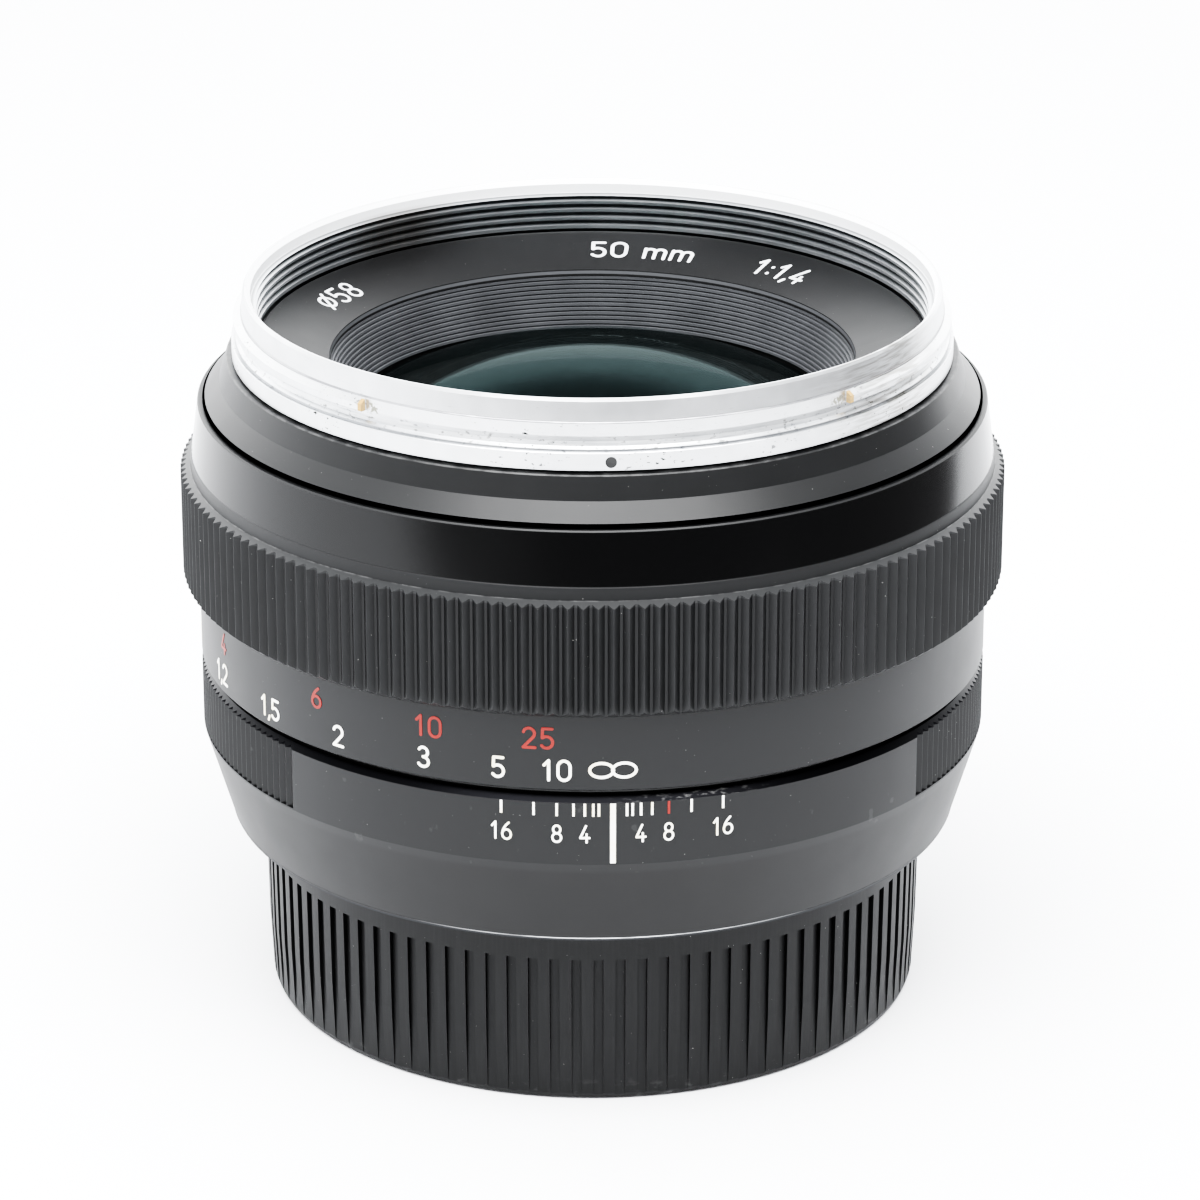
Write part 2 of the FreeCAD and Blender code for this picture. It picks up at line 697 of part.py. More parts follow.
def filter_ring():
    blank = turned_body("filter_ring_blank", [
        (27.60, S.spigot_low),
        (S.spigot_radius, S.spigot_low),
        (S.spigot_radius, S.rim_low),
        (S.rim_radius - 0.06, S.rim_low),
        (S.rim_radius, S.rim_low + 0.06),
        (S.rim_radius, FLANGE_TOP - 0.06),
        (S.rim_radius - 0.06, FLANGE_TOP),
        (30.50, FLANGE_TOP + 0.02),
        (30.46, FLANGE_TOP + 0.18),
        (30.20, FLANGE_TOP + 0.38),
        (30.04, FLANGE_TOP + 0.73),
        (HOOD_SEAT_RADIUS, HOOD_TAB_LOW),
        (HOOD_SEAT_RADIUS, 61.38),
        (29.93, 61.45),
        (29.76, S.rim_high - 0.24),
        (29.62, S.rim_high),
        (29.46, S.rim_high),
        (29.12, S.rim_high - 0.40),
        (29.12, 62.15),
        (S.thread_crest, 61.85),
        (S.thread_crest, RUN_OUT_HIGH),
        (S.thread_root, RUN_OUT_HIGH - 0.12),
        (S.thread_root, RUN_OUT_LOW + 0.12),
        (NAME_RING_SEAT, RUN_OUT_LOW),
        (NAME_RING_SEAT, CELL_SEAT),
        (27.60, CELL_SEAT),
    ])
    tip = number(S.hood_tab_radius)
    inside = HOOD_SEAT_RADIUS - 0.5
    corners = [Vector(inside, 0, HOOD_TAB_LOW), Vector(tip - 0.08, 0, HOOD_TAB_LOW),
               Vector(tip, 0, HOOD_TAB_LOW + 0.08), Vector(tip, 0, HOOD_TAB_HIGH - 0.35),
               Vector(HOOD_SEAT_RADIUS, 0, HOOD_TAB_HIGH), Vector(inside, 0, HOOD_TAB_HIGH)]
    face = Part.Face(Part.makePolygon(corners + corners[:1]))
    face.rotate(ORIGIN, UP, -HOOD_TAB_SPAN / 2)
    tab = face.revolve(ORIGIN, UP, HOOD_TAB_SPAN)
    joined = doc.addObject("Part::MultiFuse", "filter_ring_with_tabs")
    joined.Shapes = [blank, helper("hood_tabs", ring_of(tab, 2))]
    grooves = []
    root = number(S.thread_root)
    crest = number(S.thread_crest)
    pitch = number(S.thread_pitch)
    for turn in range(THREAD_TURNS):
        middle = THREAD_LOW + (turn + 0.5) * pitch
        grooves.append(spin([
            (crest - 0.05, middle - THREAD_MOUTH),
            (crest, middle - THREAD_MOUTH),
            (root, middle - 0.07),
            (root, middle + 0.07),
            (crest, middle + THREAD_MOUTH),
            (crest - 0.05, middle + THREAD_MOUTH),
        ]))
    return cut_node("filter_ring", joined, helper("filter_thread_grooves", Part.makeCompound(grooves)))


def name_ring():
    return turned("name_ring", [
        (S.name_inner, 56.45),
        (S.name_inner + 0.12, 56.98),
        (S.name_outer - 0.05, 58.70),
        (S.name_outer, 58.65),
        (S.name_outer, 57.30),
        (25.40, 56.45),
    ])


BAFFLE_TOP = 56.40
BAFFLE_BOTTOM = 52.00
BAFFLE_RIBS = 9
BAFFLE_GROOVE = 0.30


def light_baffle():
    """The ribbed funnel between the name ring and the front glass."""
    inner_top = number(S.name_inner) + 0.02
    inner_bottom = number(S.baffle_rear)
    outline = [(24.75, BAFFLE_BOTTOM), (24.75, BAFFLE_TOP)]
    step = (BAFFLE_TOP - BAFFLE_BOTTOM) / BAFFLE_RIBS
    for rib in range(BAFFLE_RIBS):
        top = BAFFLE_TOP - rib * step
        radius = inner_top + (inner_bottom - inner_top) * (rib + 0.25) / BAFFLE_RIBS
        outline.append((radius, top))
        outline.append((radius, top - 0.50 * step))
        outline.append((radius + BAFFLE_GROOVE, top - 0.60 * step))
        outline.append((radius + BAFFLE_GROOVE, top - step))
    outline[-1] = (inner_bottom + BAFFLE_GROOVE, BAFFLE_BOTTOM)
    solid_node("light_baffle", spin(outline))


def front_cell():
    body = turned_body("front_cell", [
        (27.40, S.cell_skirt_low),
        (S.cell_radius, S.cell_skirt_low),
        (S.cell_radius, 37.00),
        (22.00, 37.00),
        (22.00, 48.00),
        (S.cell_radius, 48.00),
        (S.cell_radius, S.head_flange_high),
        (29.15, S.head_flange_high),
        (29.15, S.spigot_low),
        (27.50, S.spigot_low),
        (27.50, 55.80),
        (24.80, 55.80),
        (24.80, 52.00),
        (20.95, 52.00),
        (20.95, 50.50),
        (17.05, 50.50),
        (17.05, 41.94),
        (16.05, 41.94),
        (16.05, 35.20),
        (25.20, 35.20),
        (25.20, 32.15),
        (27.40, 32.15),
    ])
    extrude("Pocket", body, "pinion_room", lambda sketch: draw_circle(
        sketch, S.motor_circle, 2.45), 32.15, 3.0, first=MOTOR_ANGLE)
    return node(body, "front_cell")


def rear_cell():
    body = turned_body("rear_cell", [
        (13.45, 32.15),
        (13.45, 25.00),
        (15.25, 25.00),
        (15.25, 21.50),
        (15.65, 21.50),
        (15.65, S.rear_end),
        (S.rear_tube_radius, S.rear_end),
        (S.rear_tube_radius, 27.40),
        (S.cell_radius, 27.40),
        (S.cell_radius, S.cell_skirt_low),
        (14.95, S.cell_skirt_low),
        (14.95, 32.15),
    ])
    extrude("Pocket", body, "motor_hole", lambda sketch: draw_circle(
        sketch, S.motor_circle, S.motor_radius + 0.1), 27.0, 3.0, first=MOTOR_ANGLE)
    return node(body, "rear_cell")


def glass():
    lens_element("front_element", (56.90, 44.0), (51.30, 300.0), 20.90)
    lens_element("second_element", (51.00, 23.5), (44.80, 52.0), 17.00)
    lens_element("third_element", (43.80, 70.0), (42.40, 15.8), 16.00, rear_clear=12.6)
    lens_element("fourth_element", (27.50, -17.5), (26.10, 80.0), 13.40, front_clear=11.8)
    lens_element("fifth_element", (26.10, 80.0), (18.50, -26.0), 15.20)
    lens_element("sixth_element", (18.30, -110.0), (14.10, -34.0), 15.60)
    lens_element("seventh_element", (13.90, 75.0), (10.10, -160.0), 15.60)


def cell_rings():
    turned("second_element_retainer", [(16.40, 44.47), (17.05, 43.85), (17.05, 46.50), (16.40, 46.50)])
    turned("third_element_retainer", [(12.80, 35.22), (16.05, 35.22), (16.05, 36.10), (12.80, 36.10)])
    turned("rear_spacer", [(14.40, 19.45), (15.20, 19.45), (15.20, 23.33), (14.40, 22.80)])
    turned("rear_thin_spacer", [(14.90, 12.50), (15.60, 12.50), (15.60, 17.50), (14.90, 17.50)])
    turned("rear_element_retainer", [(14.30, S.rear_end), (15.65, S.rear_end), (15.65, 10.70), (14.30, 10.70)])


# ------------------------------------------------------------------------ iris

PIN_FOOT = 31.30
DRIVE_OFFSET = -10.0
SLOT_HALF_WIDTH = 0.55
BASE_SCREW_CIRCLE = 26.2


def iris_base():
    body = turned_body("iris_base", [
        (15.15, 31.10),
        (27.35, 31.10),
        (27.35, 32.10),
        (25.15, 32.10),
        (25.15, 34.95),
        (S.iris_ring_radius + S.gap, 34.95),
        (S.iris_ring_radius + S.gap, 32.10),
        (15.15, 32.10),
    ])
    extrude("Pocket", body, "pivot_hole", lambda sketch: draw_circle(
        sketch, S.pivot_circle, S.pin_radius + 0.05), 30.9, 1.3, count=BLADES)
    extrude("Pocket", body, "base_screw_hole", lambda sketch: draw_circle(
        sketch, BASE_SCREW_CIRCLE, 0.65), 30.9, 1.3, count=3, first=30.0)
    extrude("Pocket", body, "pinion_opening", lambda sketch: draw_circle(
        sketch, S.motor_circle, 2.3), 32.10, 3.0, first=MOTOR_ANGLE)
    extrude("Pocket", body, "shaft_hole", lambda sketch: draw_circle(
        sketch, S.motor_circle, 0.75), 30.9, 1.3, first=MOTOR_ANGLE)
    return node(body, "iris_base")


def iris_screws():
    one = screw(1.0, 0.5, 0.60, 1.0, 0.25)
    one.rotate(ORIGIN, Vector(1, 0, 0), 180)
    one.translate(Vector(BASE_SCREW_CIRCLE, 0, 31.10))
    solid_node("iris_screws", ring_of(one, 3, 30.0))


def pin_in_ring(turn):
    """Where a blade's drive pin sits in the iris ring's own frame after a turn."""
    pivot = polar(number(S.pivot_circle), 0)
    pin = polar(number(S.pivot_circle), DRIVE_OFFSET)
    swing = math.radians(BLADE_TURN * turn / IRIS_RING_TURN)
    arm = pin - pivot
    x = pivot.x + arm.x * math.cos(swing) - arm.y * math.sin(swing)
    y = pivot.y + arm.x * math.sin(swing) + arm.y * math.cos(swing)
    back = math.radians(-turn)
    return Vector(x * math.cos(back) - y * math.sin(back), x * math.sin(back) + y * math.cos(back), 0)


def cam_slot(low, high):
    """A slot that follows the drive pin through the whole iris travel."""
    pieces = []
    steps = 12
    for index in range(steps + 1):
        centre = pin_in_ring(IRIS_RING_TURN * index / steps)
        centre.z = low
        pieces.append(Part.makeCylinder(SLOT_HALF_WIDTH, high - low, centre))
        if index:
            run = centre - previous
            side = Vector(-run.y, run.x, 0).normalize() * SLOT_HALF_WIDTH
            pieces.append(prism([previous + side, previous - side, centre - side, centre + side], low, high))
        previous = centre
    return pieces[0].multiFuse(pieces[1:]).removeSplitter()


def gear_outline(teeth, module, tooth_fraction, first, count):
    """Corner points of straight-sided teeth round part of a gear, first angle in degrees."""
    pitch_radius = teeth * module / 2
    tip = pitch_radius + module
    root = pitch_radius - 1.25 * module
    pitch = 360.0 / teeth
    corners = []
    for index in range(count):
        middle = first + index * pitch
        half = pitch * tooth_fraction / 2
        lean = math.degrees(math.tan(math.radians(20.0)) * module / pitch_radius)
        corners.append(polar(root, middle - half - 1.25 * lean))
        corners.append(polar(tip, middle - half + lean))
        corners.append(polar(tip, middle + half - lean))
        corners.append(polar(root, middle + half + 1.25 * lean))
    return corners


GEAR_SECTOR_TEETH = 20


def iris_ring():
    """The ring that swings all nine blades, driven through a toothed sector."""
    low = number(S.iris_ring_low)
    high = number(S.iris_ring_high)
    module = number(S.gear_module)
    outer = number(S.iris_ring_radius)
    disc = Part.makeCylinder(outer, high - low, Vector(0, 0, low))
    disc = disc.cut(Part.makeCylinder(14.0, 4.0, Vector(0, 0, low - 1)))
    pitch = 360.0 / RING_TEETH
    # with the iris open the pinion meets the far end of the sector, which then runs past it
    first = MOTOR_ANGLE - (GEAR_SECTOR_TEETH - 4) * pitch
    teeth = gear_outline(RING_TEETH, module, 0.42, first, GEAR_SECTOR_TEETH)
    last = first + (GEAR_SECTOR_TEETH - 1) * pitch
    edge = [polar(outer + 1.0, last + pitch / 2), polar(outer + 1.0, (first + last) / 2),
            polar(outer + 1.0, first - pitch / 2)]
    relief = prism(teeth + edge, low - 0.5, high + 0.5)
    disc = disc.cut(relief)
    slots = ring_of(cam_slot(low - 0.5, high + 0.5), BLADES)
    solid_node("iris_ring", disc.cut(slots))


def motor():
    radius = number(S.motor_radius)
    centre = number(S.motor_circle)
    can = Part.makeCylinder(radius, 8.0, Vector(0, centre, 23.0))
    collar = Part.makeCylinder(1.2, 0.1, Vector(0, centre, 31.0))
    bearing = Part.makeCylinder(0.58, 2.5, Vector(0, centre, 29.0))
    cap = Part.makeCylinder(1.4, 0.5, Vector(0, centre, 22.5))
    solid_node("aperture_motor", can.fuse(collar).fuse(cap).cut(bearing))


def pinion():
    module = number(S.gear_module)
    centre = number(S.motor_circle)
    corners = gear_outline(PINION_TEETH, module, 0.42, -90.0 + 180.0 / PINION_TEETH, PINION_TEETH)
    wheel = prism(corners, 33.8, 34.9)
    shaft = Part.makeCylinder(0.50, 5.4, Vector(0, 0, 29.5))
    gear = wheel.fuse(shaft)
    gear.translate(Vector(0, centre, 0))
    solid_node("motor_pinion", gear)


BLADE_OUTER = 18.60
BLADE_SPAN = 100.0


def iris_blades():
    pivot_radius = number(S.pivot_circle)
    pin_radius = number(S.pin_radius)
    thickness = number(S.blade_thickness)
    for index in range(BLADES):
        low = number(S.blade_floor) + index * number(S.blade_step)
        leaf = sector(number(S.stop_radius), BLADE_OUTER, -3.0, BLADE_SPAN, low, low + thickness)
        pivot = polar(pivot_radius, 0, low)
        drive = polar(pivot_radius, DRIVE_OFFSET, low)
        arm = sector(pivot_radius - 1.0, pivot_radius + 0.9, DRIVE_OFFSET, -DRIVE_OFFSET, low, low + thickness)
        blade = leaf.fuse([
            Part.makeCylinder(1.5, thickness, pivot),
            Part.makeCylinder(1.0, thickness, drive),
            arm,
            Part.makeCylinder(pin_radius, low - PIN_FOOT + 0.05, Vector(pivot.x, pivot.y, PIN_FOOT)),
            Part.makeCylinder(pin_radius, number(S.iris_ring_high) - 0.1 - low, drive),
        ])
        blade.rotate(ORIGIN, UP, 360.0 * index / BLADES)
        solid_node("iris_blade_%d" % (index + 1), blade)


# -------------------------------------------------------------------- rear cap

CAP_TAB_SPAN = 50.0
CAP_TAB_RADIUS = 25.50


def rear_cap():
    blank = turned_body("rear_cap_blank", [
        (0.0, 0.40),
        (24.60, 0.40),
        (24.90, 0.0),
        (27.90, 0.0),
        (28.30, 0.18),
        (28.45, 0.60),
        (S.cap_radius - 0.10, 6.00),
        (S.cap_radius, S.cap_rib_top),
        (S.cap_radius, S.cap_top - 0.30),
        (S.cap_radius - 0.30, S.cap_top),
        (S.cap_cavity, S.cap_top),
        (S.cap_cavity, S.cap_floor),
        (0.0, S.cap_floor),
    ])
    tab = sector(CAP_TAB_RADIUS, number(S.cap_cavity) + 0.3, -CAP_TAB_SPAN / 2, CAP_TAB_SPAN, 13.40, 15.00)
    joined = doc.addObject("Part::MultiFuse", "rear_cap_with_tabs")
    joined.Shapes = [blank, helper("cap_tabs", ring_of(tab, BAYONET_TABS, FIRST_BAYONET_TAB + 60.0))]
    pitch = 360.0 / CAP_RIBS
    inner = number(S.cap_radius) - number(S.cap_rib_depth)
    groove = [polar(inner, -0.22 * pitch), polar(30.0, -0.24 * pitch), polar(30.0, 0.24 * pitch),
              polar(inner, 0.22 * pitch)]
    cutter = ring_of(prism(groove, -0.5, number(S.cap_rib_top)), CAP_RIBS)
    return cut_node("rear_cap", joined, helper("cap_rib_grooves", cutter))


def build():
    fixed_barrel()
    guide_sleeve()
    for side, angle in KEY_SIDES:
        guide_key(side, angle)
    key_screws()
    bayonet_mount()
    mount_screws()
    contacts()
    rear_light_shield()
    electronics()
    focus_ring()
    helicoid()
    ring_retainer()
    head_tube()
    focus_stop()
    front_barrel()
    filter_ring()
    name_ring()
    light_baffle()
    front_cell()
    rear_cell()
    glass()
    cell_rings()
    iris_base()
    iris_screws()
    iris_ring()
    motor()
    pinion()
    iris_blades()
    rear_cap()
    doc.recompute()


def check():
    for item in doc.Objects:
        if "Invalid" in item.State or "Error" in item.State:
            raise RuntimeError("%s is %s" % (item.Label, item.State))
    for item in nodes:
        if item.Shape.isNull() or not item.Shape.isValid() or not item.Shape.Solids:
            raise RuntimeError("%s has no valid solid" % item.Label)


def export():
    os.makedirs("parts", exist_ok=True)
    for item in nodes:
        item.Shape.exportStep("parts/%s.step" % item.Label)
        print("%-28s %3d solid(s) %10.1f mm3" % (item.Label, len(item.Shape.Solids), item.Shape.Volume))
    print(len(nodes), "nodes")


build()
check()
export()
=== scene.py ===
import math
import random

import bpy
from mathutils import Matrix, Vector
from mathutils.bvhtree import BVHTree

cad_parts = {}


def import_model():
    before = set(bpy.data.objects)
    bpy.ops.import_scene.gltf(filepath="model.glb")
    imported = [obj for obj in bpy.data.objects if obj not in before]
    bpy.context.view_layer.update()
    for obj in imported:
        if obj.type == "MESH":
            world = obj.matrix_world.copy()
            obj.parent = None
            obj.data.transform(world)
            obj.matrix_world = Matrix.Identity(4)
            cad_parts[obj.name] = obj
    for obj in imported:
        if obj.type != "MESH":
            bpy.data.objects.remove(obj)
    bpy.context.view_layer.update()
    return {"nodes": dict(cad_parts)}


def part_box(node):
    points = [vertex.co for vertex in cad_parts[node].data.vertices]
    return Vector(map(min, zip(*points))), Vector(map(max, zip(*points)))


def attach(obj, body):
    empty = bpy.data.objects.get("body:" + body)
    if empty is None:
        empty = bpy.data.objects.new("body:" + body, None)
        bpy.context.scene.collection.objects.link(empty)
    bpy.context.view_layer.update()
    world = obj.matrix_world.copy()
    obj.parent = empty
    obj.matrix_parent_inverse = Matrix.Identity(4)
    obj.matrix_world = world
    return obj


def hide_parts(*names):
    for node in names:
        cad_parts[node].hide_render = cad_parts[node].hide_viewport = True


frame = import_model()

# A 50 mm camera lens standing on its rear cap, index mark towards -Y.
# Lengths here are millimetres and angles degrees; MM turns them into the frame's metres.
# A bearing is an angle round the axis, from the index at -Y towards +X.
MM = 0.001
NODES = frame["nodes"]
draw = random.Random(58)


# ------------------------------------------------------ places on the CAD model


def top_of(node):
    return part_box(node)[1].z / MM


def bottom_of(node):
    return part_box(node)[0].z / MM


def radius_of(node):
    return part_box(node)[1].x / MM


BARREL_RADIUS = radius_of("fixed_barrel")
BARREL_LOW = bottom_of("fixed_barrel")
BARREL_TOP = top_of("fixed_barrel")
RING_LOW = bottom_of("focus_ring")
RING_TOP = top_of("focus_ring")
GRIP_RADIUS = radius_of("focus_ring")
FRONT_RADIUS = radius_of("front_barrel")
FRONT_TOP = top_of("front_barrel")
FLANGE_RADIUS = radius_of("filter_ring")
RIM_TOP = top_of("filter_ring")
NAME_LOW = bottom_of("name_ring")
NAME_TOP = top_of("name_ring")
NAME_RADIUS = radius_of("name_ring")
BAFFLE_LOW = bottom_of("light_baffle")
BAFFLE_TOP = top_of("light_baffle")
OUTSIDE_LENS = 60.0


def surface_at(node, bearing, height):
    """The outermost point of a CAD node at a bearing and height, with its normal, in metres."""
    tree = BVHTree.FromPolygons([v.co for v in NODES[node].data.vertices],
                                [tuple(p.vertices) for p in NODES[node].data.polygons])
    angle = math.radians(bearing)
    outward = Vector((math.sin(angle), -math.cos(angle), 0.0))
    start = outward * OUTSIDE_LENS * MM + Vector((0.0, 0.0, height * MM))
    point, normal, _, _ = tree.ray_cast(start, -outward)
    return point, normal


# ------------------------------------------------------------------- materials


class Finish:
    """A Principled material whose patterns are measured in millimetres of the row frame."""

    def __init__(self, name, **constants):
        self.material = bpy.data.materials.new(name)
        self.material.use_nodes = True
        self.nodes = self.material.node_tree.nodes
        self.links = self.material.node_tree.links
        self.shader = self.nodes["Principled BSDF"]
        for socket, value in constants.items():
            self.shader.inputs[socket.replace("_", " ")].default_value = value
        metres = self.nodes.new("ShaderNodeTexCoord").outputs["Object"]
        self.place = self.vector("MULTIPLY", metres, (1 / MM, 1 / MM, 1 / MM))
        parts = self.nodes.new("ShaderNodeSeparateXYZ")
        self.links.new(self.place, parts.inputs[0])
        self.x, self.y, self.z = parts.outputs
        self.radius = self.math("SQRT", self.math("ADD", self.math("MULTIPLY", self.x, self.x),
                                                  self.math("MULTIPLY", self.y, self.y)))

    def put(self, socket, value):
        """Link a node's output to a socket, or set a plain value on it."""
        if isinstance(value, bpy.types.NodeSocket):
            self.links.new(value, socket)
        else:
            socket.default_value = value

    def math(self, operation, first, second=0.0, clamp=False):
        step = self.nodes.new("ShaderNodeMath")
        step.operation = operation
        step.use_clamp = clamp
        self.put(step.inputs[0], first)
        self.put(step.inputs[1], second)
        return step.outputs[0]

    def vector(self, operation, first, second):
        step = self.nodes.new("ShaderNodeVectorMath")
        step.operation = operation
        self.put(step.inputs[0], first)
        self.put(step.inputs[1], second)
        return step.outputs[0]

    def bearing(self):
        """The angle round the axis in degrees, 0 at the index."""
        turn = self.math("ARCTAN2", self.x, self.math("MULTIPLY", self.y, -1.0))
        return self.math("MULTIPLY", turn, 180 / math.pi)

    def noise(self, scale, stretch=(1.0, 1.0, 1.0), detail=2.0):
        """Noise from 0 to 1 with features about 1/scale mm across, squeezed along each axis by stretch."""
        step = self.nodes.new("ShaderNodeTexNoise")
        step.inputs["Scale"].default_value = scale
        step.inputs["Detail"].default_value = detail
        self.links.new(self.vector("MULTIPLY", self.place, stretch), step.inputs["Vector"])
        return step.outputs["Fac"]

    def ramp(self, value, low, high):
        """0 at low and 1 at high, clamped; low may be the greater."""
        step = self.nodes.new("ShaderNodeMapRange")
        step.inputs["From Min"].default_value = low
        step.inputs["From Max"].default_value = high
        self.put(step.inputs["Value"], value)
        return step.outputs[0]

    def within(self, value, low, high, soft):
        """1 between low and high, and 0 outside, over a soft edge."""
        rise = self.ramp(value, low - soft, low + soft)
        return self.both(rise, self.ramp(value, high + soft, high - soft))

    def both(self, first, second):
        """Where two masks overlap."""
        return self.math("MULTIPLY", first, second)

    def mix(self, share, first, second):
        """Blend two numbers."""
        step = self.nodes.new("ShaderNodeMix")
        self.put(step.inputs[0], share)
        self.put(step.inputs[2], first)
        self.put(step.inputs[3], second)
        return step.outputs[0]

    def tint(self, share, first, second):
        """Blend two colours."""
        step = self.nodes.new("ShaderNodeMix")
        step.data_type = "RGBA"
        self.put(step.inputs[0], share)
        for socket, value in ((step.inputs[6], first), (step.inputs[7], second)):
            self.put(socket, value if isinstance(value, bpy.types.NodeSocket) else (*value, 1.0))
        return step.outputs[2]

    def stain(self, shade, mask, strength, colour):
        """Blend a colour into a shade where a mask is 1, no further than strength."""
        return self.tint(self.math("MULTIPLY", mask, strength), shade, colour)

    def bump(self, height, depth, strength):
        """Add a relief of a depth in millimetres on top of any that is already there."""
        step = self.nodes.new("ShaderNodeBump")
        step.inputs["Distance"].default_value = depth * MM
        step.inputs["Strength"].default_value = strength
        self.links.new(height, step.inputs["Height"])
        previous = self.shader.inputs["Normal"].links
        if previous:
            self.links.new(previous[0].from_socket, step.inputs["Normal"])
        self.links.new(step.outputs[0], self.shader.inputs["Normal"])

    def finish(self, colour, roughness):
        self.put(self.shader.inputs["Base Color"], colour)
        self.put(self.shader.inputs["Roughness"], roughness)
        return self.material


LATHE = (0.05, 0.05, 6.0)
BLACK = (0.0052, 0.0054, 0.0058)
WORN = (0.13, 0.13, 0.13)
DUST = (0.55, 0.54, 0.52)


def scaled(colour, factor):
    return [channel * factor for channel in colour]


def anodised(name, colour=BLACK, rough=0.46, grain=9.0, lathe=0.12, grainy=0.5):
    """Fine bead-blasted black anodising, with a trace of turning marks and a little dust."""
    f = Finish(name, Specular_IOR_Level=0.42)
    cloud = f.noise(0.22, detail=3.0)
    bead = f.noise(grain, detail=3.0)
    speck = f.ramp(f.noise(5.5, detail=1.0), 0.80, 0.83)
    shade = f.tint(f.ramp(cloud, 0.3, 0.7), scaled(colour, 0.86), scaled(colour, 1.16))
    shade = f.stain(shade, bead, 0.35, scaled(colour, 1.7))
    shade = f.stain(shade, speck, 0.35, DUST)
    f.bump(bead, 0.006, grainy)
    f.bump(f.noise(1.6, LATHE), 0.004, lathe)
    return f, shade, f.mix(cloud, rough - 0.04, rough + 0.05)


def plain_anodised(name, **options):
    f, shade, rough = anodised(name, **options)
    return f.finish(shade, rough)


def worn_edges(f, shade, edges):
    """Rub the black through to pale metal on thin bands, each (low, high, strength)."""
    patch = f.ramp(f.noise(0.9, detail=4.0), 0.42, 0.62)
    for low, high, strength in edges:
        band = f.both(f.within(f.z, low, high, 0.02), patch)
        shade = f.stain(shade, band, strength, WORN)
    return shade


# heights on the focus ring: the knurled grip, the narrow land over it and the glossy band on top
KNURL_LOW = RING_TOP - 15.8
KNURL_TOP = RING_TOP - 6.13
LAND_TOP = RING_TOP - 5.70
BAND_LOW = RING_TOP - 4.60
BAND_TOP = RING_TOP - 0.15


def focus_ring_finish():
    """Black anodising with painted shade in the knurl's valleys, wear and a painted highlight on its crests,
    a painted highlight on the land over the knurl, rubbed edges and a glossy band near the top.
    """
    f, shade, rough = anodised("ring_black", rough=0.44, lathe=0.0, grainy=0.25)
    knurl = f.within(f.z, KNURL_LOW, KNURL_TOP, 0.02)
    crest_wear_and_highlight = f.both(knurl, f.ramp(f.radius, GRIP_RADIUS - 0.30, GRIP_RADIUS - 0.005))
    valley_painted_shade = f.both(knurl, f.ramp(f.radius, GRIP_RADIUS - 0.12, GRIP_RADIUS - 0.42))
    patch = f.ramp(f.noise(0.7, (1.0, 1.0, 0.5), 3.0), 0.30, 0.70)
    land = f.within(f.z, KNURL_TOP, LAND_TOP, 0.02)
    gloss = f.within(f.z, BAND_LOW, BAND_TOP, 0.03)
    # painted shade: the knurl's valleys darkened
    shade = f.stain(shade, valley_painted_shade, 0.15, (0.0030, 0.0030, 0.0034))
    # wear and a painted highlight: the knurl's crests lighter in patches
    shade = f.stain(shade, f.both(crest_wear_and_highlight, patch), 0.22, (0.030, 0.031, 0.033))
    # painted highlight: the narrow land over the knurl lighter
    shade = f.stain(shade, land, 0.5, (0.030, 0.031, 0.032))
    shade = worn_edges(f, shade, [(RING_LOW, RING_LOW + 0.12, 0.15),
                                  (LAND_TOP - 0.04, LAND_TOP + 0.04, 0.35)])
    shade = f.tint(gloss, shade, (0.0012, 0.0012, 0.0014))
    return f.finish(shade, f.mix(gloss, f.mix(knurl, rough, 0.50), 0.13))


BEVEL = 0.50
TAPER_TOP = BARREL_TOP - 6.6


def barrel_finish():
    """Black anodising with painted shade on the taper, and a bevel at the top made a near-black metal as
    painted shade, rubbed paler beside the index.
    """
    f, shade, rough = anodised("barrel_black", rough=0.46)
    scuff = f.ramp(f.noise(0.8, (1.0, 1.0, 0.7), 5.0), 0.66, 0.70)
    shade = f.stain(shade, scuff, 0.10, WORN)
    painted_taper_shade = f.both(f.ramp(f.z, TAPER_TOP, TAPER_TOP - 0.4), f.ramp(f.z, BARREL_LOW, BARREL_LOW + 0.3))
    # painted shade: the downward-facing taper darkened
    shade = f.tint(painted_taper_shade, shade, (0.0016, 0.0016, 0.0018))
    bevel = f.ramp(f.z, BARREL_TOP - BEVEL - 0.03, BARREL_TOP - BEVEL + 0.03)
    patch = f.ramp(f.noise(1.6, (1.0, 1.0, 3.0), 4.0), 0.52, 0.66)
    rubbed = f.both(f.within(f.bearing(), 4.0, 22.0, 5.0), patch)
    # painted shade: the bevel a near-black metal, standing in for the shade under the focus ring's skirt;
    # paler where rubbed beside the index
    shade = f.tint(bevel, shade, f.tint(rubbed, (0.007, 0.007, 0.008), (0.035, 0.035, 0.035)))
    f.put(f.shader.inputs["Metallic"], bevel)
    return f.finish(shade, f.mix(bevel, rough, 0.30))


def front_barrel_finish():
    """Black anodising, rubbed at its top and bottom edges."""
    f, shade, rough = anodised("front_black", rough=0.40)
    shade = worn_edges(f, shade, [(FRONT_TOP - 0.12, FRONT_TOP, 0.30),
                                  (RING_TOP + 0.14, RING_TOP + 0.30, 0.40)])
    return f.finish(shade, rough)


CHROME = (0.62, 0.63, 0.64)

# the filter ring: its bore's radius, and depths of its features below its top
BORE_RADIUS = NAME_RADIUS + 0.75
MOUTH_DEPTH = 1.21
SEAM_TOP, SEAM_LOW = 1.86, 2.03
TAB_TOP, TAB_LOW = 2.10, 3.15
GROOVE_TOP, GROOVE_LOW = 3.20, 4.20
SKIRT_LOW = 5.70

# the hood tabs' middles are at these bearings, and they reach this far to either side
TAB_MIDDLE = 90.0
TAB_HALF = 49.35


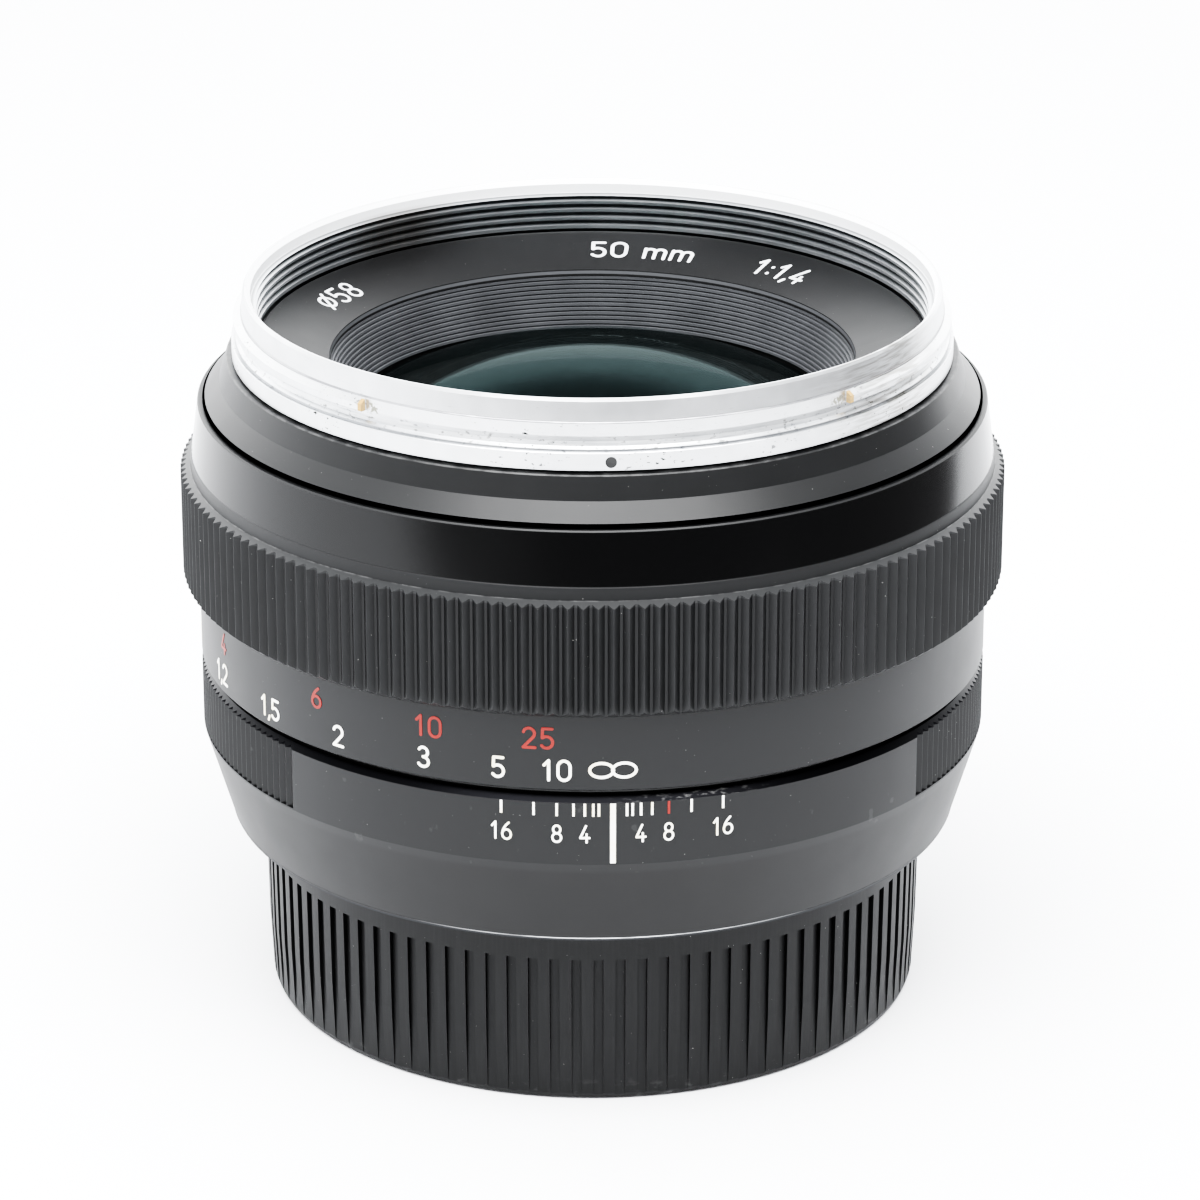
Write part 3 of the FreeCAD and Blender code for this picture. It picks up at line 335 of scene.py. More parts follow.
class Chrome(Finish):
    """The filter ring's bright chrome, laid on layer by layer; each method adds one."""

    def __init__(self):
        super().__init__("bright_chrome", Metallic=1.0)
        self.cloud = self.noise(0.35, detail=4.0)
        self.outside = self.ramp(self.radius, BORE_RADIUS - 0.05, BORE_RADIUS + 0.05)
        self.bore = self.both(self.ramp(self.radius, BORE_RADIUS + 0.03, BORE_RADIUS - 0.07),
                              self.ramp(self.z, RIM_TOP - 0.9, RIM_TOP - 1.3))
        self.groove = self.depths(GROOVE_TOP, GROOVE_LOW, 0.10)
        self.shade = self.tint(self.ramp(self.cloud, 0.35, 0.65), scaled(CHROME, 0.90), CHROME)
        self.rough = self.mix(self.cloud, 0.26, 0.36)

    def depths(self, top, low, soft):
        """1 between two depths below the ring's top."""
        return self.within(self.z, RIM_TOP - low, RIM_TOP - top, soft)

    def add(self, mask, strength, colour):
        self.shade = self.stain(self.shade, mask, strength, colour)

    def scratches_and_grime(self):
        """Circumferential scratches and nicks, dirt in the hood groove and dark spots on one side."""
        scratch = self.ramp(self.noise(2.2, (0.10, 0.10, 9.0), 3.0), 0.66, 0.74)
        scratch = self.both(scratch, self.outside)
        nick = self.ramp(self.noise(1.9, (0.6, 0.6, 5.0), 2.0), 0.70, 0.74)
        grime = self.both(self.groove, self.ramp(self.noise(1.5, (1.0, 1.0, 2.2), 5.0), 0.60, 0.68))
        grime = self.both(grime, self.outside)
        region = self.both(self.depths(1.9, SKIRT_LOW, 0.2), self.ramp(self.noise(0.16), 0.50, 0.62))
        spots = self.both(region, self.ramp(self.noise(2.0, (1.0, 1.0, 1.8), 4.0), 0.63, 0.66))
        self.add(scratch, 0.30, (0.35, 0.36, 0.38))
        self.add(self.both(nick, self.outside), 0.35, (0.22, 0.22, 0.23))
        self.add(grime, 0.75, (0.12, 0.12, 0.11))
        self.add(self.both(spots, self.outside), 1.0, (0.02, 0.02, 0.018))
        spoilt = self.math("ADD", self.math("MULTIPLY", scratch, 0.5), self.math("MULTIPLY", grime, 0.5))
        self.rough = self.mix(spoilt, self.rough, 0.55)
        self.bump(scratch, -0.004, 0.4)

    def dark_lines(self):
        """The seam under the flange, smears in the hood groove and the line at the groove's foot."""
        seam = self.both(self.depths(SEAM_TOP, SEAM_LOW, 0.02), self.outside)
        seam = self.both(seam, self.mix(self.ramp(self.cloud, 0.4, 0.6), 0.55, 0.85))
        smear = self.both(self.groove, self.ramp(self.noise(0.8, (0.30, 0.30, 6.0), 3.0), 0.45, 0.65))
        foot = self.both(self.depths(GROOVE_LOW - 0.12, GROOVE_LOW, 0.02), self.outside)
        self.add(seam, 1.0, (0.16, 0.16, 0.17))
        self.add(self.both(smear, self.outside), 0.45, (0.28, 0.30, 0.33))
        self.add(foot, 0.55, (0.14, 0.15, 0.17))

    def tab_ends(self):
        """Brassy ends of the hood tabs and dull scuffs in the gaps beside them; returns both masks."""
        aside = self.math("ABSOLUTE", self.bearing())
        off_middle = self.math("ABSOLUTE", self.math("SUBTRACT", aside, TAB_MIDDLE))
        from_end = self.math("ABSOLUTE", self.math("SUBTRACT", off_middle, TAB_HALF - 0.33))
        brass = self.both(self.ramp(from_end, 0.42, 0.32), self.depths(TAB_TOP, TAB_LOW, 0.04))
        brass = self.both(brass, self.ramp(self.radius, FLANGE_RADIUS - 0.75, FLANGE_RADIUS - 0.70))
        into_gap = self.math("SUBTRACT", TAB_MIDDLE - TAB_HALF, aside)
        scuff = self.both(self.within(into_gap, 0.5, 2.9, 0.4), self.depths(TAB_TOP + 0.25, TAB_LOW, 0.06))
        scuff = self.both(scuff, self.ramp(self.noise(2.6, detail=4.0), 0.47, 0.55))
        self.add(scuff, 1.0, (0.20, 0.20, 0.16))
        self.add(brass, 1.0, (0.42, 0.27, 0.06))
        return self.math("ADD", brass, scuff)

    def thread(self):
        """The bore: greyer, with painted shade, nearly black, in the thread's valleys."""
        valley_painted_shade = self.both(self.bore, self.ramp(self.radius, NAME_RADIUS + 0.34, NAME_RADIUS + 0.58))
        self.add(self.bore, 0.35, (0.36, 0.38, 0.40))
        # painted shade: the thread's valleys nearly black
        self.add(valley_painted_shade, 0.9, (0.03, 0.032, 0.035))
        self.rough = self.mix(self.math("MULTIPLY", self.bore, 0.8), self.rough, 0.36)

    def pale_mouth(self):
        """The pale satin chamfer at the mouth of the bore; returns its mask."""
        mouth = self.both(self.ramp(self.radius, BORE_RADIUS + 0.30, BORE_RADIUS + 0.20),
                          self.ramp(self.z, RIM_TOP - MOUTH_DEPTH - 0.05, RIM_TOP - MOUTH_DEPTH + 0.05))
        self.add(mouth, 1.0, (0.90, 0.91, 0.92))
        self.rough = self.mix(mouth, self.rough, 0.55)
        return mouth

    def brown_stretch_and_painted_reflection(self):
        """A brownish stretch outside, towards the right of the index, and a dull brownish painted reflection
        in the bore.
        """
        streak = self.ramp(self.noise(1.1, (0.35, 0.35, 5.0), 3.0), 0.42, 0.62)
        outer = self.both(self.both(self.within(self.bearing(), 41.0, 62.0, 7.0), streak), self.outside)
        # painted reflection: a dull brownish patch in the bore, on the left
        inner = self.both(self.within(self.bearing(), -154.0, -137.0, 5.0), self.bore)
        self.add(outer, 0.62, (0.17, 0.155, 0.13))
        self.add(inner, 0.45, (0.13, 0.110, 0.090))


def chrome_finish():
    f = Chrome()
    f.scratches_and_grime()
    f.dark_lines()
    ends = f.tab_ends()
    f.thread()
    mouth = f.pale_mouth()
    f.brown_stretch_and_painted_reflection()
    unmetallic = f.math("ADD", f.math("MULTIPLY", mouth, 0.85), ends, clamp=True)
    f.put(f.shader.inputs["Metallic"], f.math("SUBTRACT", 1.0, unmetallic))
    return f.finish(f.shade, f.rough)


def bare_metal(name, colour, rough=0.30, lathe=0.5):
    """Turned metal with fine circumferential tool marks and faint stains."""
    f = Finish(name, Metallic=1.0)
    stain = f.noise(0.5, detail=4.0)
    shade = f.tint(f.ramp(stain, 0.35, 0.70), scaled(colour, 0.80), colour)
    f.bump(f.noise(2.2, LATHE, 3.0), 0.010, lathe)
    return f.finish(shade, f.mix(stain, rough - 0.06, rough + 0.10))


def painted_front_highlight(f):
    """A patchy mask of the bearings in front, where the two hairlines of chrome get a painted highlight."""
    return f.both(f.within(f.bearing(), -16.0, 17.0, 15.0), f.ramp(f.noise(0.25), 0.15, 0.45))


def mount_finish():
    """The bayonet mount: plain chrome, but its rim has a painted highlight in front and is painted dull at
    the sides.
    """
    f = Finish("mount_rim_chrome", Metallic=1.0)
    edge, top = radius_of("bayonet_mount"), top_of("bayonet_mount")
    rim = f.ramp(f.radius, edge - 0.30, edge - 0.20)
    # painted highlight: the rim pale in front, fading to dark at the sides
    painted_glint = f.both(f.ramp(f.z, top - 0.16, top - 0.10), painted_front_highlight(f))
    rim_shade = f.tint(painted_glint, (0.045, 0.046, 0.048), (0.70, 0.71, 0.72))
    f.put(f.shader.inputs["Metallic"], f.math("SUBTRACT", 1.0, f.both(rim, painted_glint)))
    f.bump(f.noise(2.2, LATHE, 3.0), 0.006, 0.3)
    return f.finish(f.tint(rim, (0.66, 0.66, 0.65), rim_shade), f.mix(rim, 0.20, 0.40))


def painted_hairline_finish():
    """The thin line of chrome between the barrel and the cap, as a plain colour: a painted highlight in
    front, nearly black at the sides.
    """
    f = Finish("hairline_painted_highlight")
    # painted highlight: pale in front, nearly black at the sides
    shade = f.tint(painted_front_highlight(f), (0.010, 0.010, 0.011), (0.60, 0.61, 0.62))
    return f.finish(shade, 0.35)


def blade_finish():
    """Thin blued steel, brushed and a little oily."""
    f = Finish("blade_steel", Metallic=1.0)
    brushed = f.noise(3.0, (0.3, 5.0, 0.3), 3.0)
    film = f.noise(0.25, detail=3.0)
    shade = f.tint(f.ramp(film, 0.3, 0.7), (0.16, 0.17, 0.19), (0.26, 0.27, 0.29))
    f.bump(brushed, 0.004, 0.4)
    return f.finish(shade, f.mix(film, 0.30, 0.44))


NAME_INNER = NAME_RADIUS - 6.05


def name_ring_finish():
    """Black anodising with a lighter line round the inner edge, painted light over the edge's shade."""
    f, shade, rough = anodised("name_ring_black", colour=(0.0032, 0.0032, 0.0035), rough=0.43, lathe=0.2)
    # painted light: a lighter line on the inner edge, where shade falls
    edge = f.ramp(f.radius, NAME_INNER + 0.16, NAME_INNER + 0.10)
    edge = f.both(edge, f.within(f.z, NAME_LOW + 0.17, NAME_LOW + 0.45, 0.02))
    return f.finish(f.tint(edge, shade, (0.075, 0.077, 0.082)), rough)


BAFFLE_RIBS = 12


def baffle_finish():
    """Greyer ribs with painted shade, nearly black, in the grooves between them."""
    grey = (0.080, 0.082, 0.087)
    f, shade, rough = anodised("baffle_black", colour=grey, rough=0.42, lathe=0.0, grainy=0.1)
    depth = f.math("SUBTRACT", BAFFLE_TOP, f.z)
    phase = f.math("FRACT", f.math("MULTIPLY", depth, BAFFLE_RIBS / (BAFFLE_TOP - BAFFLE_LOW)))
    # painted shade: the grooves between the ribs nearly black
    shade = f.tint(f.within(phase, 0.66, 0.97, 0.03), shade, (0.002, 0.002, 0.0022))
    return f.finish(shade, rough)


def painted_shadow_finish():
    """Painted deep shadow with a trace of dust in it."""
    f = Finish("gap_painted_shadow", Specular_IOR_Level=0.0)
    dust = f.ramp(f.noise(3.0, detail=3.0), 0.60, 0.75)
    return f.finish(f.tint(dust, (0.0008, 0.0008, 0.0009), (0.006, 0.006, 0.006)), 0.9)


def cap_finish():
    """Satin moulded plastic with fine draw lines, scuffed at the foot."""
    f = Finish("cap_plastic_grey", Specular_IOR_Level=0.34)
    cloud = f.noise(0.30, detail=3.0)
    drawn = f.noise(1.6, (3.0, 3.0, 0.12), 3.0)
    pebble = f.noise(7.0, detail=2.0)
    scuff = f.both(f.ramp(f.noise(0.8, (1.0, 1.0, 2.0), 5.0), 0.60, 0.72), f.ramp(f.z, 2.2, 0.2))
    speck = f.ramp(f.noise(4.6, detail=1.0), 0.79, 0.82)
    shade = f.tint(f.ramp(cloud, 0.3, 0.7), (0.0026, 0.0027, 0.0030), (0.0048, 0.0049, 0.0052))
    shade = f.stain(shade, f.ramp(drawn, 0.45, 0.75), 0.30, (0.012, 0.0122, 0.013))
    shade = f.stain(shade, scuff, 0.30, (0.12, 0.12, 0.12))
    shade = f.stain(shade, speck, 0.30, DUST)
    f.bump(pebble, 0.012, 0.35)
    f.bump(drawn, 0.010, 0.40)
    return f.finish(shade, f.mix(cloud, 0.42, 0.54))


def plastic_finish():
    """Black satin plastic with a fine moulded grain."""
    f = Finish("black_plastic_satin", Specular_IOR_Level=0.45)
    pebble = f.noise(6.0, detail=2.0)
    shade = f.tint(pebble, (0.010, 0.010, 0.011), (0.022, 0.022, 0.023))
    f.bump(pebble, 0.010, 0.4)
    return f.finish(shade, 0.45)


def board_finish():
    """Green solder resist with paler tracks."""
    f = Finish("board_green", Coat_Weight=0.4)
    track = f.within(f.math("FRACT", f.math("MULTIPLY", f.radius, 1.15)), 0.30, 0.52, 0.05)
    tracks = f.both(track, f.ramp(f.noise(0.5, detail=1.0), 0.45, 0.50))
    shade = f.tint(tracks, (0.010, 0.075, 0.032), (0.035, 0.170, 0.075))
    f.bump(tracks, 0.03, 0.6)
    return f.finish(shade, 0.38)


def glass_finish(name, cover, colour):
    """Coated glass over a blackened inside, with few and tinted reflections.

    cover is the opacity of a surface met from outside the glass; from inside it is nearly clear.
    """
    f = Finish(name, Metallic=0.8, Specular_IOR_Level=0.0, Specular_Tint=(0.66, 0.70, 0.70, 1.0))
    haze = f.ramp(f.noise(0.8, detail=4.0), 0.45, 0.95)
    dust = f.both(f.ramp(f.noise(4.5, detail=1.0), 0.79, 0.82), f.ramp(f.noise(0.4), 0.4, 0.6))
    shade = f.tint(haze, colour, [c * 1.3 + 0.005 for c in colour])
    shade = f.stain(shade, dust, 0.35, DUST)
    inside = f.nodes.new("ShaderNodeNewGeometry").outputs["Backfacing"]
    f.put(f.shader.inputs["Alpha"], f.mix(inside, cover, cover * 0.06))
    return f.finish(shade, f.mix(haze, 0.02, 0.09))


def paint(name, fresh, aged, rough=0.42):
    """Engraving paint: slightly uneven, yellowed in places."""
    f = Finish(name)
    age = f.ramp(f.noise(0.55, detail=2.0), 0.46, 0.62)
    grain = f.noise(9.0, detail=2.0)
    shade = f.stain(f.tint(age, fresh, aged), f.ramp(grain, 0.55, 0.85), 0.25, scaled(fresh, 0.6))
    f.bump(grain, 0.012, 0.5)
    return f.finish(shade, rough)


def dust_finish(name, light, dark):
    f = Finish(name)
    return f.finish(f.tint(f.noise(6.0, detail=2.0), light, dark), 0.85)


# by the material slot of a CAD node
FINISHES = {
    "black_anodised": plain_anodised("plain_black"),
    "black_gloss": plain_anodised("gloss_black", colour=(0.003, 0.003, 0.003), rough=0.20),
    "black_matte": plain_anodised("inside_matte", colour=(0.012, 0.012, 0.012), rough=0.72, grain=5.0),
    "aluminium": bare_metal("turned_aluminium", (0.74, 0.75, 0.76), 0.32),
    "chrome": bare_metal("plain_chrome", (0.66, 0.66, 0.65), 0.20, 0.3),
    "steel": bare_metal("turned_steel", (0.50, 0.50, 0.51), 0.28),
    "brass": bare_metal("turned_brass", (0.80, 0.60, 0.27), 0.30),
    "gold": bare_metal("plated_gold", (0.95, 0.72, 0.30), 0.20, 0.1),
    "black_plastic": plastic_finish(),
    "board": board_finish(),
    "glass": glass_finish("inner_glass", 0.12, (0.016, 0.028, 0.026)),
    "blade": blade_finish(),
    "cap_plastic": cap_finish(),
}
# by the node's own name, for the parts that show in the photo
OWN_FINISHES = {
    "focus_ring": focus_ring_finish(),
    "fixed_barrel": barrel_finish(),
    "bayonet_mount": mount_finish(),
    "front_barrel": front_barrel_finish(),
    "filter_ring": chrome_finish(),
    "name_ring": name_ring_finish(),
    "light_baffle": baffle_finish(),
    "front_element": glass_finish("front_glass", 0.42, (0.018, 0.032, 0.033)),
}


def dress_nodes():
    """Give every CAD node its finish: its own, or the one of its material slot."""
    for name, node in NODES.items():
        slot = node.material_slots[0].material.name.split(".")[0]
        finish = OWN_FINISHES.get(name) or FINISHES[slot]
        for holder in node.material_slots:
            holder.material = finish
        if slot == "glass":
            polish = node.modifiers.new("even_polish", "WEIGHTED_NORMAL")
            polish.mode = "FACE_AREA"
            polish.keep_sharp = True


# ----------------------------------------------------------- figures and marks


ARC_STEP = 15
CURVE_STEPS = 8


def arc(x, y, wide, tall, start, end):
    """Points along an ellipse, from a start to an end angle."""
    steps = max(4, round(abs(end - start) / ARC_STEP))
    angles = [math.radians(start + (end - start) * i / steps) for i in range(steps + 1)]
    return [(x + wide * math.cos(a), y + tall * math.sin(a)) for a in angles]


def curve(start, bend, end):
    """Points along a quadratic curve."""
    points = []
    for i in range(CURVE_STEPS + 1):
        t = i / CURVE_STEPS
        near, middle, far = (1 - t) ** 2, 2 * t * (1 - t), t * t
        points.append(tuple(near * a + middle * b + far * c for a, b, c in zip(start, bend, end)))
    return points


SIX = [arc(0.28, 0.29, 0.28, 0.29, 0, 360), curve((0.42, 1.0), (0.04, 0.70), (0.0, 0.31))]

# each figure has its width and its strokes, in units of the height between stroke centres;
# "o" stands for the diameter sign
FIGURES = {
    "0": (0.58, [arc(0.29, 0.69, 0.29, 0.31, 0, 180) + arc(0.29, 0.31, 0.29, 0.31, 180, 360)
                 + [(0.58, 0.69)]]),
    "1": (0.38, [[(0.02, 0.76), (0.24, 1.0)], [(0.24, 1.0), (0.24, 0.0)]]),
    "2": (0.56, [arc(0.28, 0.72, 0.27, 0.28, 165, -35) + [(0.0, 0.0)], [(0.0, 0.0), (0.57, 0.0)]]),
    "3": (0.56, [arc(0.27, 0.755, 0.24, 0.245, 150, -90), arc(0.27, 0.255, 0.28, 0.255, 90, -150)]),
    "4": (0.58, [[(0.36, 1.0), (0.0, 0.27)], [(0.0, 0.27), (0.58, 0.27)], [(0.40, 0.50), (0.40, 0.0)]]),
    "5": (0.55, [[(0.52, 1.0), (0.07, 1.0)], [(0.07, 1.0), (0.05, 0.53)],
                 arc(0.26, 0.30, 0.29, 0.30, 130, -145)]),
    "6": (0.56, SIX),
    "7": (0.54, [[(0.0, 1.0), (0.54, 1.0)], [(0.54, 1.0), (0.18, 0.0)]]),
    "8": (0.56, [arc(0.28, 0.76, 0.23, 0.24, 0, 360), arc(0.28, 0.265, 0.28, 0.265, 0, 360)]),
    "9": (0.56, [[(0.56 - x, 1.0 - y) for x, y in stroke] for stroke in SIX]),
    ",": (-0.13, [[(-0.02, 0.04), (-0.10, -0.16)]]),
    ":": (0.06, [[(0.03, 0.14), (0.03, 0.16)], [(0.03, 0.60), (0.03, 0.62)]]),
    "m": (0.86, [[(0.0, 0.66), (0.0, 0.0)], arc(0.215, 0.44, 0.215, 0.22, 180, 0) + [(0.43, 0.0)],
                 arc(0.645, 0.44, 0.215, 0.22, 180, 0) + [(0.86, 0.0)]]),
    "o": (0.66, [arc(0.33, 0.5, 0.33, 0.36, 0, 360), [(0.0, 0.0), (0.66, 1.0)]]),
    " ": (0.20, []),
}
FIGURE_GAP = 0.31

# paint stands LIFT above a surface and reaches SINK into it; LIFT_STEP keeps crossing strokes apart
LIFT = 0.020
LIFT_STEP = 0.0015
LIFTS = 5
SINK = 0.015
LONGEST_STEP = 0.7
END_STEPS = 6
TIP = 0.06


def on_barrel(radius, height, bearing):
    """Where a point of a mark goes on an upright cylinder, centred at a height and a bearing."""
    def place(x, y, lift):
        angle = math.radians(bearing) + x / radius
        return Vector(((radius + lift) * math.sin(angle), -(radius + lift) * math.cos(angle), height + y))
    return place


# the name ring's cone falls by NAME_DROP over NAME_RUN, and its figures are centred at NAME_MIDDLE
NAME_DROP = 1.72
NAME_RUN = 5.88
NAME_SLOPE = math.atan2(NAME_DROP, NAME_RUN)
NAME_EDGE = NAME_RADIUS - 0.05
NAME_MIDDLE = NAME_RADIUS - 2.90


def on_name_ring(bearing):
    """Where a point of a mark goes on the name ring's cone, with its top outwards."""
    middle = NAME_TOP - (NAME_EDGE - NAME_MIDDLE) * math.tan(NAME_SLOPE)

    def place(x, y, lift):
        angle = math.radians(bearing) - x / NAME_MIDDLE
        radius = NAME_MIDDLE + y * math.cos(NAME_SLOPE) - lift * math.sin(NAME_SLOPE)
        height = middle + y * math.sin(NAME_SLOPE) + lift * math.cos(NAME_SLOPE)
        return Vector((radius * math.sin(angle), -radius * math.cos(angle), height))
    return place


def refined(path):
    """The path's points, with more between them so that a long stroke follows a curved surface."""
    points = [path[0]]
    for (x, y), (next_x, next_y) in zip(path, path[1:]):
        pieces = max(1, math.ceil(math.hypot(next_x - x, next_y - y) / LONGEST_STEP))
        for i in range(1, pieces + 1):
            points.append((x + (next_x - x) * i / pieces, y + (next_y - y) * i / pieces))
    return points


def round_end(section, way):
    """Narrowing cross sections that round off a stroke; way is -1 at its start and 1 at its end."""
    (x, y), (across_x, across_y), half = section
    end = []
    for i in range(1, END_STEPS + 1):
        angle = math.pi / 2 * i / END_STEPS
        reach = way * half * math.sin(angle)
        width = max(half * math.cos(angle), half * TIP)
        end.append(((x + across_y * reach, y - across_x * reach), (across_x, across_y), width))
    return end


def ribbon(path, half, closed, round_ends):
    """Cross sections along a stroke: centre, unit vector across, and half width."""
    points = refined(path)
    if closed:
        points.pop()
    count = len(points)
    sections = []
    for i, point in enumerate(points):
        before = points[i - 1] if closed or i else point
        after = points[(i + 1) % count] if closed or i < count - 1 else point
        run = Vector((after[0] - before[0], after[1] - before[1])).normalized()
        sections.append((point, (-run.y, run.x), half))
    if closed or not round_ends:
        return sections
    head = round_end(sections[0], -1)
    return head[::-1] + sections + round_end(sections[-1], 1)


def stand(piece, body):
    """Put a piece in the scene, riding on its body."""
    bpy.context.scene.collection.objects.link(piece)
    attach(piece, body)
    return piece


class Marks:
    """One mesh that gathers closed strokes of paint."""

    def __init__(self):
        self.points = []
        self.faces = []
        self.count = 0

    def stroke(self, path, half, place, round_ends=True):
        """A flat ribbon of paint along a path of points, closed where the path meets itself."""
        closed = math.dist(path[0], path[-1]) < 1e-6
        self.count += 1
        lift = LIFT + LIFT_STEP * (self.count % LIFTS)
        sections = ribbon(path, half, closed, round_ends)
        start = len(self.points)
        for (x, y), (across_x, across_y), width in sections:
            for side, height in ((1, lift), (-1, lift), (-1, -SINK), (1, -SINK)):
                self.points.append(place(x + side * across_x * width, y + side * across_y * width, height))
        total = len(sections)
        for index in range(total if closed else total - 1):
            here = start + 4 * index
            there = start + 4 * ((index + 1) % total)
            for corner in range(4):
                follow = (corner + 1) % 4
                self.faces.append((here + corner, there + corner, there + follow, here + follow))
        if not closed:
            last = start + 4 * (total - 1)
            self.faces.append((start, start + 1, start + 2, start + 3))
            self.faces.append((last + 3, last + 2, last + 1, last))

    def text(self, words, height, half, place, squeeze=1.0):
        """Figures centred on the mark's place; height is between stroke centres."""
        width = sum(FIGURES[c][0] + FIGURE_GAP for c in words) - FIGURE_GAP
        cursor = -width / 2
        for character in words:
            advance, strokes = FIGURES[character]
            for path in strokes:
                sized = [((cursor + x) * height * squeeze, (y - 0.5) * height) for x, y in path]
                self.stroke(sized, half, place)
            cursor += advance + FIGURE_GAP

    def piece(self, name, body, slot, material):
        mesh = bpy.data.meshes.new(name)
        mesh.from_pydata([point * MM for point in self.points], [], self.faces)
        mesh.update()
        mesh.materials.append(material)
        return stand(bpy.data.objects.new(name, mesh), body)


WHITE = paint("mark_white", (0.84, 0.84, 0.80), (0.78, 0.74, 0.58))
RED = paint("mark_red", (0.23, 0.0065, 0.0010), (0.19, 0.0065, 0.0012))
DOT = paint("mark_black", (0.012, 0.012, 0.012), (0.020, 0.020, 0.020), 0.3)
GREY = paint("ring_white", (0.66, 0.67, 0.68), (0.58, 0.59, 0.60))

# distances on the focus ring, as (figure, bearing) at infinity focus; LOOP_ sizes the infinity sign
METRES = (("10", -7.7), ("5", -15.9), ("3", -26.8), ("2", -40.9), ("1,5", -55.2), ("1,2", -70.4),
          ("1", -86.5), ("0,8", -109.0), ("0,7", -127.0), ("0,6", -150.0), ("0,5", -184.0), ("0,45", -229.0))
FEET = (("25", -10.3), ("10", -26.0), ("6", -44.9), ("4", -69.4), ("3", -94.0), ("2,5", -116.0),
        ("2", -150.0), ("1,5", -212.0))
METRE_HEIGHT = BARREL_TOP + 2.38
FEET_HEIGHT = BARREL_TOP + 5.18
FIGURE_HEIGHT = 1.71
FIGURE_HALF = 0.128
LOOP_OFFSET = 0.93
LOOP_WIDE = 0.97
LOOP_TALL = 0.63
LOOP_RAISE = 0.06


def distance_scales():
    """White metres with the infinity sign, and red feet, all turning with the focus ring."""
    metres = Marks()
    for words, bearing in METRES:
        metres.text(words, FIGURE_HEIGHT, FIGURE_HALF, on_barrel(BARREL_RADIUS, METRE_HEIGHT, bearing))
    infinity = on_barrel(BARREL_RADIUS, METRE_HEIGHT + LOOP_RAISE, 0.0)
    for side in (-1, 1):
        metres.stroke(arc(side * LOOP_OFFSET, 0.0, LOOP_WIDE, LOOP_TALL, 0, 360), FIGURE_HALF, infinity)
    metres.piece("metre_scale", "focus_ring", "black_anodised", WHITE)
    feet = Marks()
    for words, bearing in FEET:
        feet.text(words, FIGURE_HEIGHT, FIGURE_HALF, on_barrel(BARREL_RADIUS, FEET_HEIGHT, bearing))
    feet.piece("feet_scale", "focus_ring", "black_anodised", RED)


# the depth scale's ticks stand at the f-number times DEGREES_PER_STOP, to either side of the index
STOPS = (2.0, 2.8, 4.0, 5.6, 8.0, 11.3, 16.0)
RED_STOP = 8.0
DEGREES_PER_STOP = 0.968
TICK_TOP = BARREL_TOP - 0.53
TICK_LENGTH = 1.14
TICK_HALF = 0.102
INDEX_LENGTH = 5.33
INDEX_HALF = 0.235
SMALL_DROP = 2.72
SMALL_HEIGHT = 1.46
SMALL_HALF = 0.094
SMALL_WIDTH = 0.88


def tick(marks, bearing, length, half):
    place = on_barrel(BARREL_RADIUS, TICK_TOP, bearing)
    marks.stroke([(0.0, -length), (0.0, 0.0)], half, place, round_ends=False)


def depth_scale():
    """The index line, a tick for each stop on both sides, and figures under some of them."""
    white, red = Marks(), Marks()
    tick(white, 0.0, INDEX_LENGTH, INDEX_HALF)
    for stop in STOPS:
        for side in (-1, 1):
            marks = red if stop == RED_STOP and side == 1 else white
            tick(marks, side * stop * DEGREES_PER_STOP, TICK_LENGTH, TICK_HALF)
    for words, stop in (("4", 4.0), ("8", 8.0), ("16", 16.0)):
        for side in (-1, 1):
            place = on_barrel(BARREL_RADIUS, TICK_TOP - SMALL_DROP, side * stop * DEGREES_PER_STOP)
            white.text(words, SMALL_HEIGHT, SMALL_HALF, place, SMALL_WIDTH)
    white.piece("depth_scale", "barrel", "black_anodised", WHITE)
    red.piece("red_tick", "barrel", "black_anodised", RED)


# the dot is a very short stroke with round ends, at a depth below the filter ring's top
DOT_HALF = 0.47
DOT_LENGTH = 0.004
DOT_DEPTH = 5.02
RING_HEIGHT = 2.15

# figures on the name ring, as (words, bearing, half width of a stroke)
RING_WORDS = (("50 mm", 167.0, 0.17), ("1:1,4", 136.0, 0.17), ("o58", 238.0, 0.15))


def ring_marks():
    """The index dot on the filter ring and the figures on the name ring."""
    dot = Marks()
    dot_path = [(0.0, -DOT_LENGTH / 2), (0.0, DOT_LENGTH / 2)]
    dot.stroke(dot_path, DOT_HALF, on_barrel(FLANGE_RADIUS, RIM_TOP - DOT_DEPTH, 0.0))
    dot.piece("index_dot", "lens_head", "black_anodised", DOT)
    words = Marks()
    for text, bearing, half in RING_WORDS:
        words.text(text, RING_HEIGHT, half, on_name_ring(bearing))
    words.piece("name_ring_figures", "lens_head", "black_anodised", GREY)


# --------------------------------------------------------------- turned pieces

TURNS = 256
SHARP = 25


def spin(name, outline, body, material):
    """A piece turned from a closed outline of (radius, height) points."""
    points, faces = [], []
    count = len(outline)
    for turn in range(TURNS):
        angle = 2 * math.pi * turn / TURNS
        here = turn * count
        there = (turn + 1) % TURNS * count
        for radius, height in outline:
            points.append((radius * math.sin(angle) * MM, -radius * math.cos(angle) * MM, height * MM))
        for i in range(count):
            after = (i + 1) % count
            faces.append((here + i, here + after, there + after, there + i))
    mesh = bpy.data.meshes.new(name)
    mesh.from_pydata(points, [], faces)
    mesh.shade_smooth()
    mesh.set_sharp_from_angle(angle=math.radians(SHARP))
    mesh.materials.append(material)
    return stand(bpy.data.objects.new(name, mesh), body)


# a rib fills RIB_LAND of its step; the groove's slope ends at RIB_SLOPE, and it is RIB_GROOVE deep
RIB_LAND = 0.70
RIB_SLOPE = 0.78
RIB_GROOVE = 0.20


def baffle_bore():
    """The CAD funnel's inner radius at its top and at its narrowest."""
    points = [(math.hypot(v.co.x, v.co.y) / MM, v.co.z / MM) for v in NODES["light_baffle"].data.vertices]
    wide = min(radius for radius, height in points if height > BAFFLE_TOP - 0.01)
    return wide, min(radius for radius, _ in points)


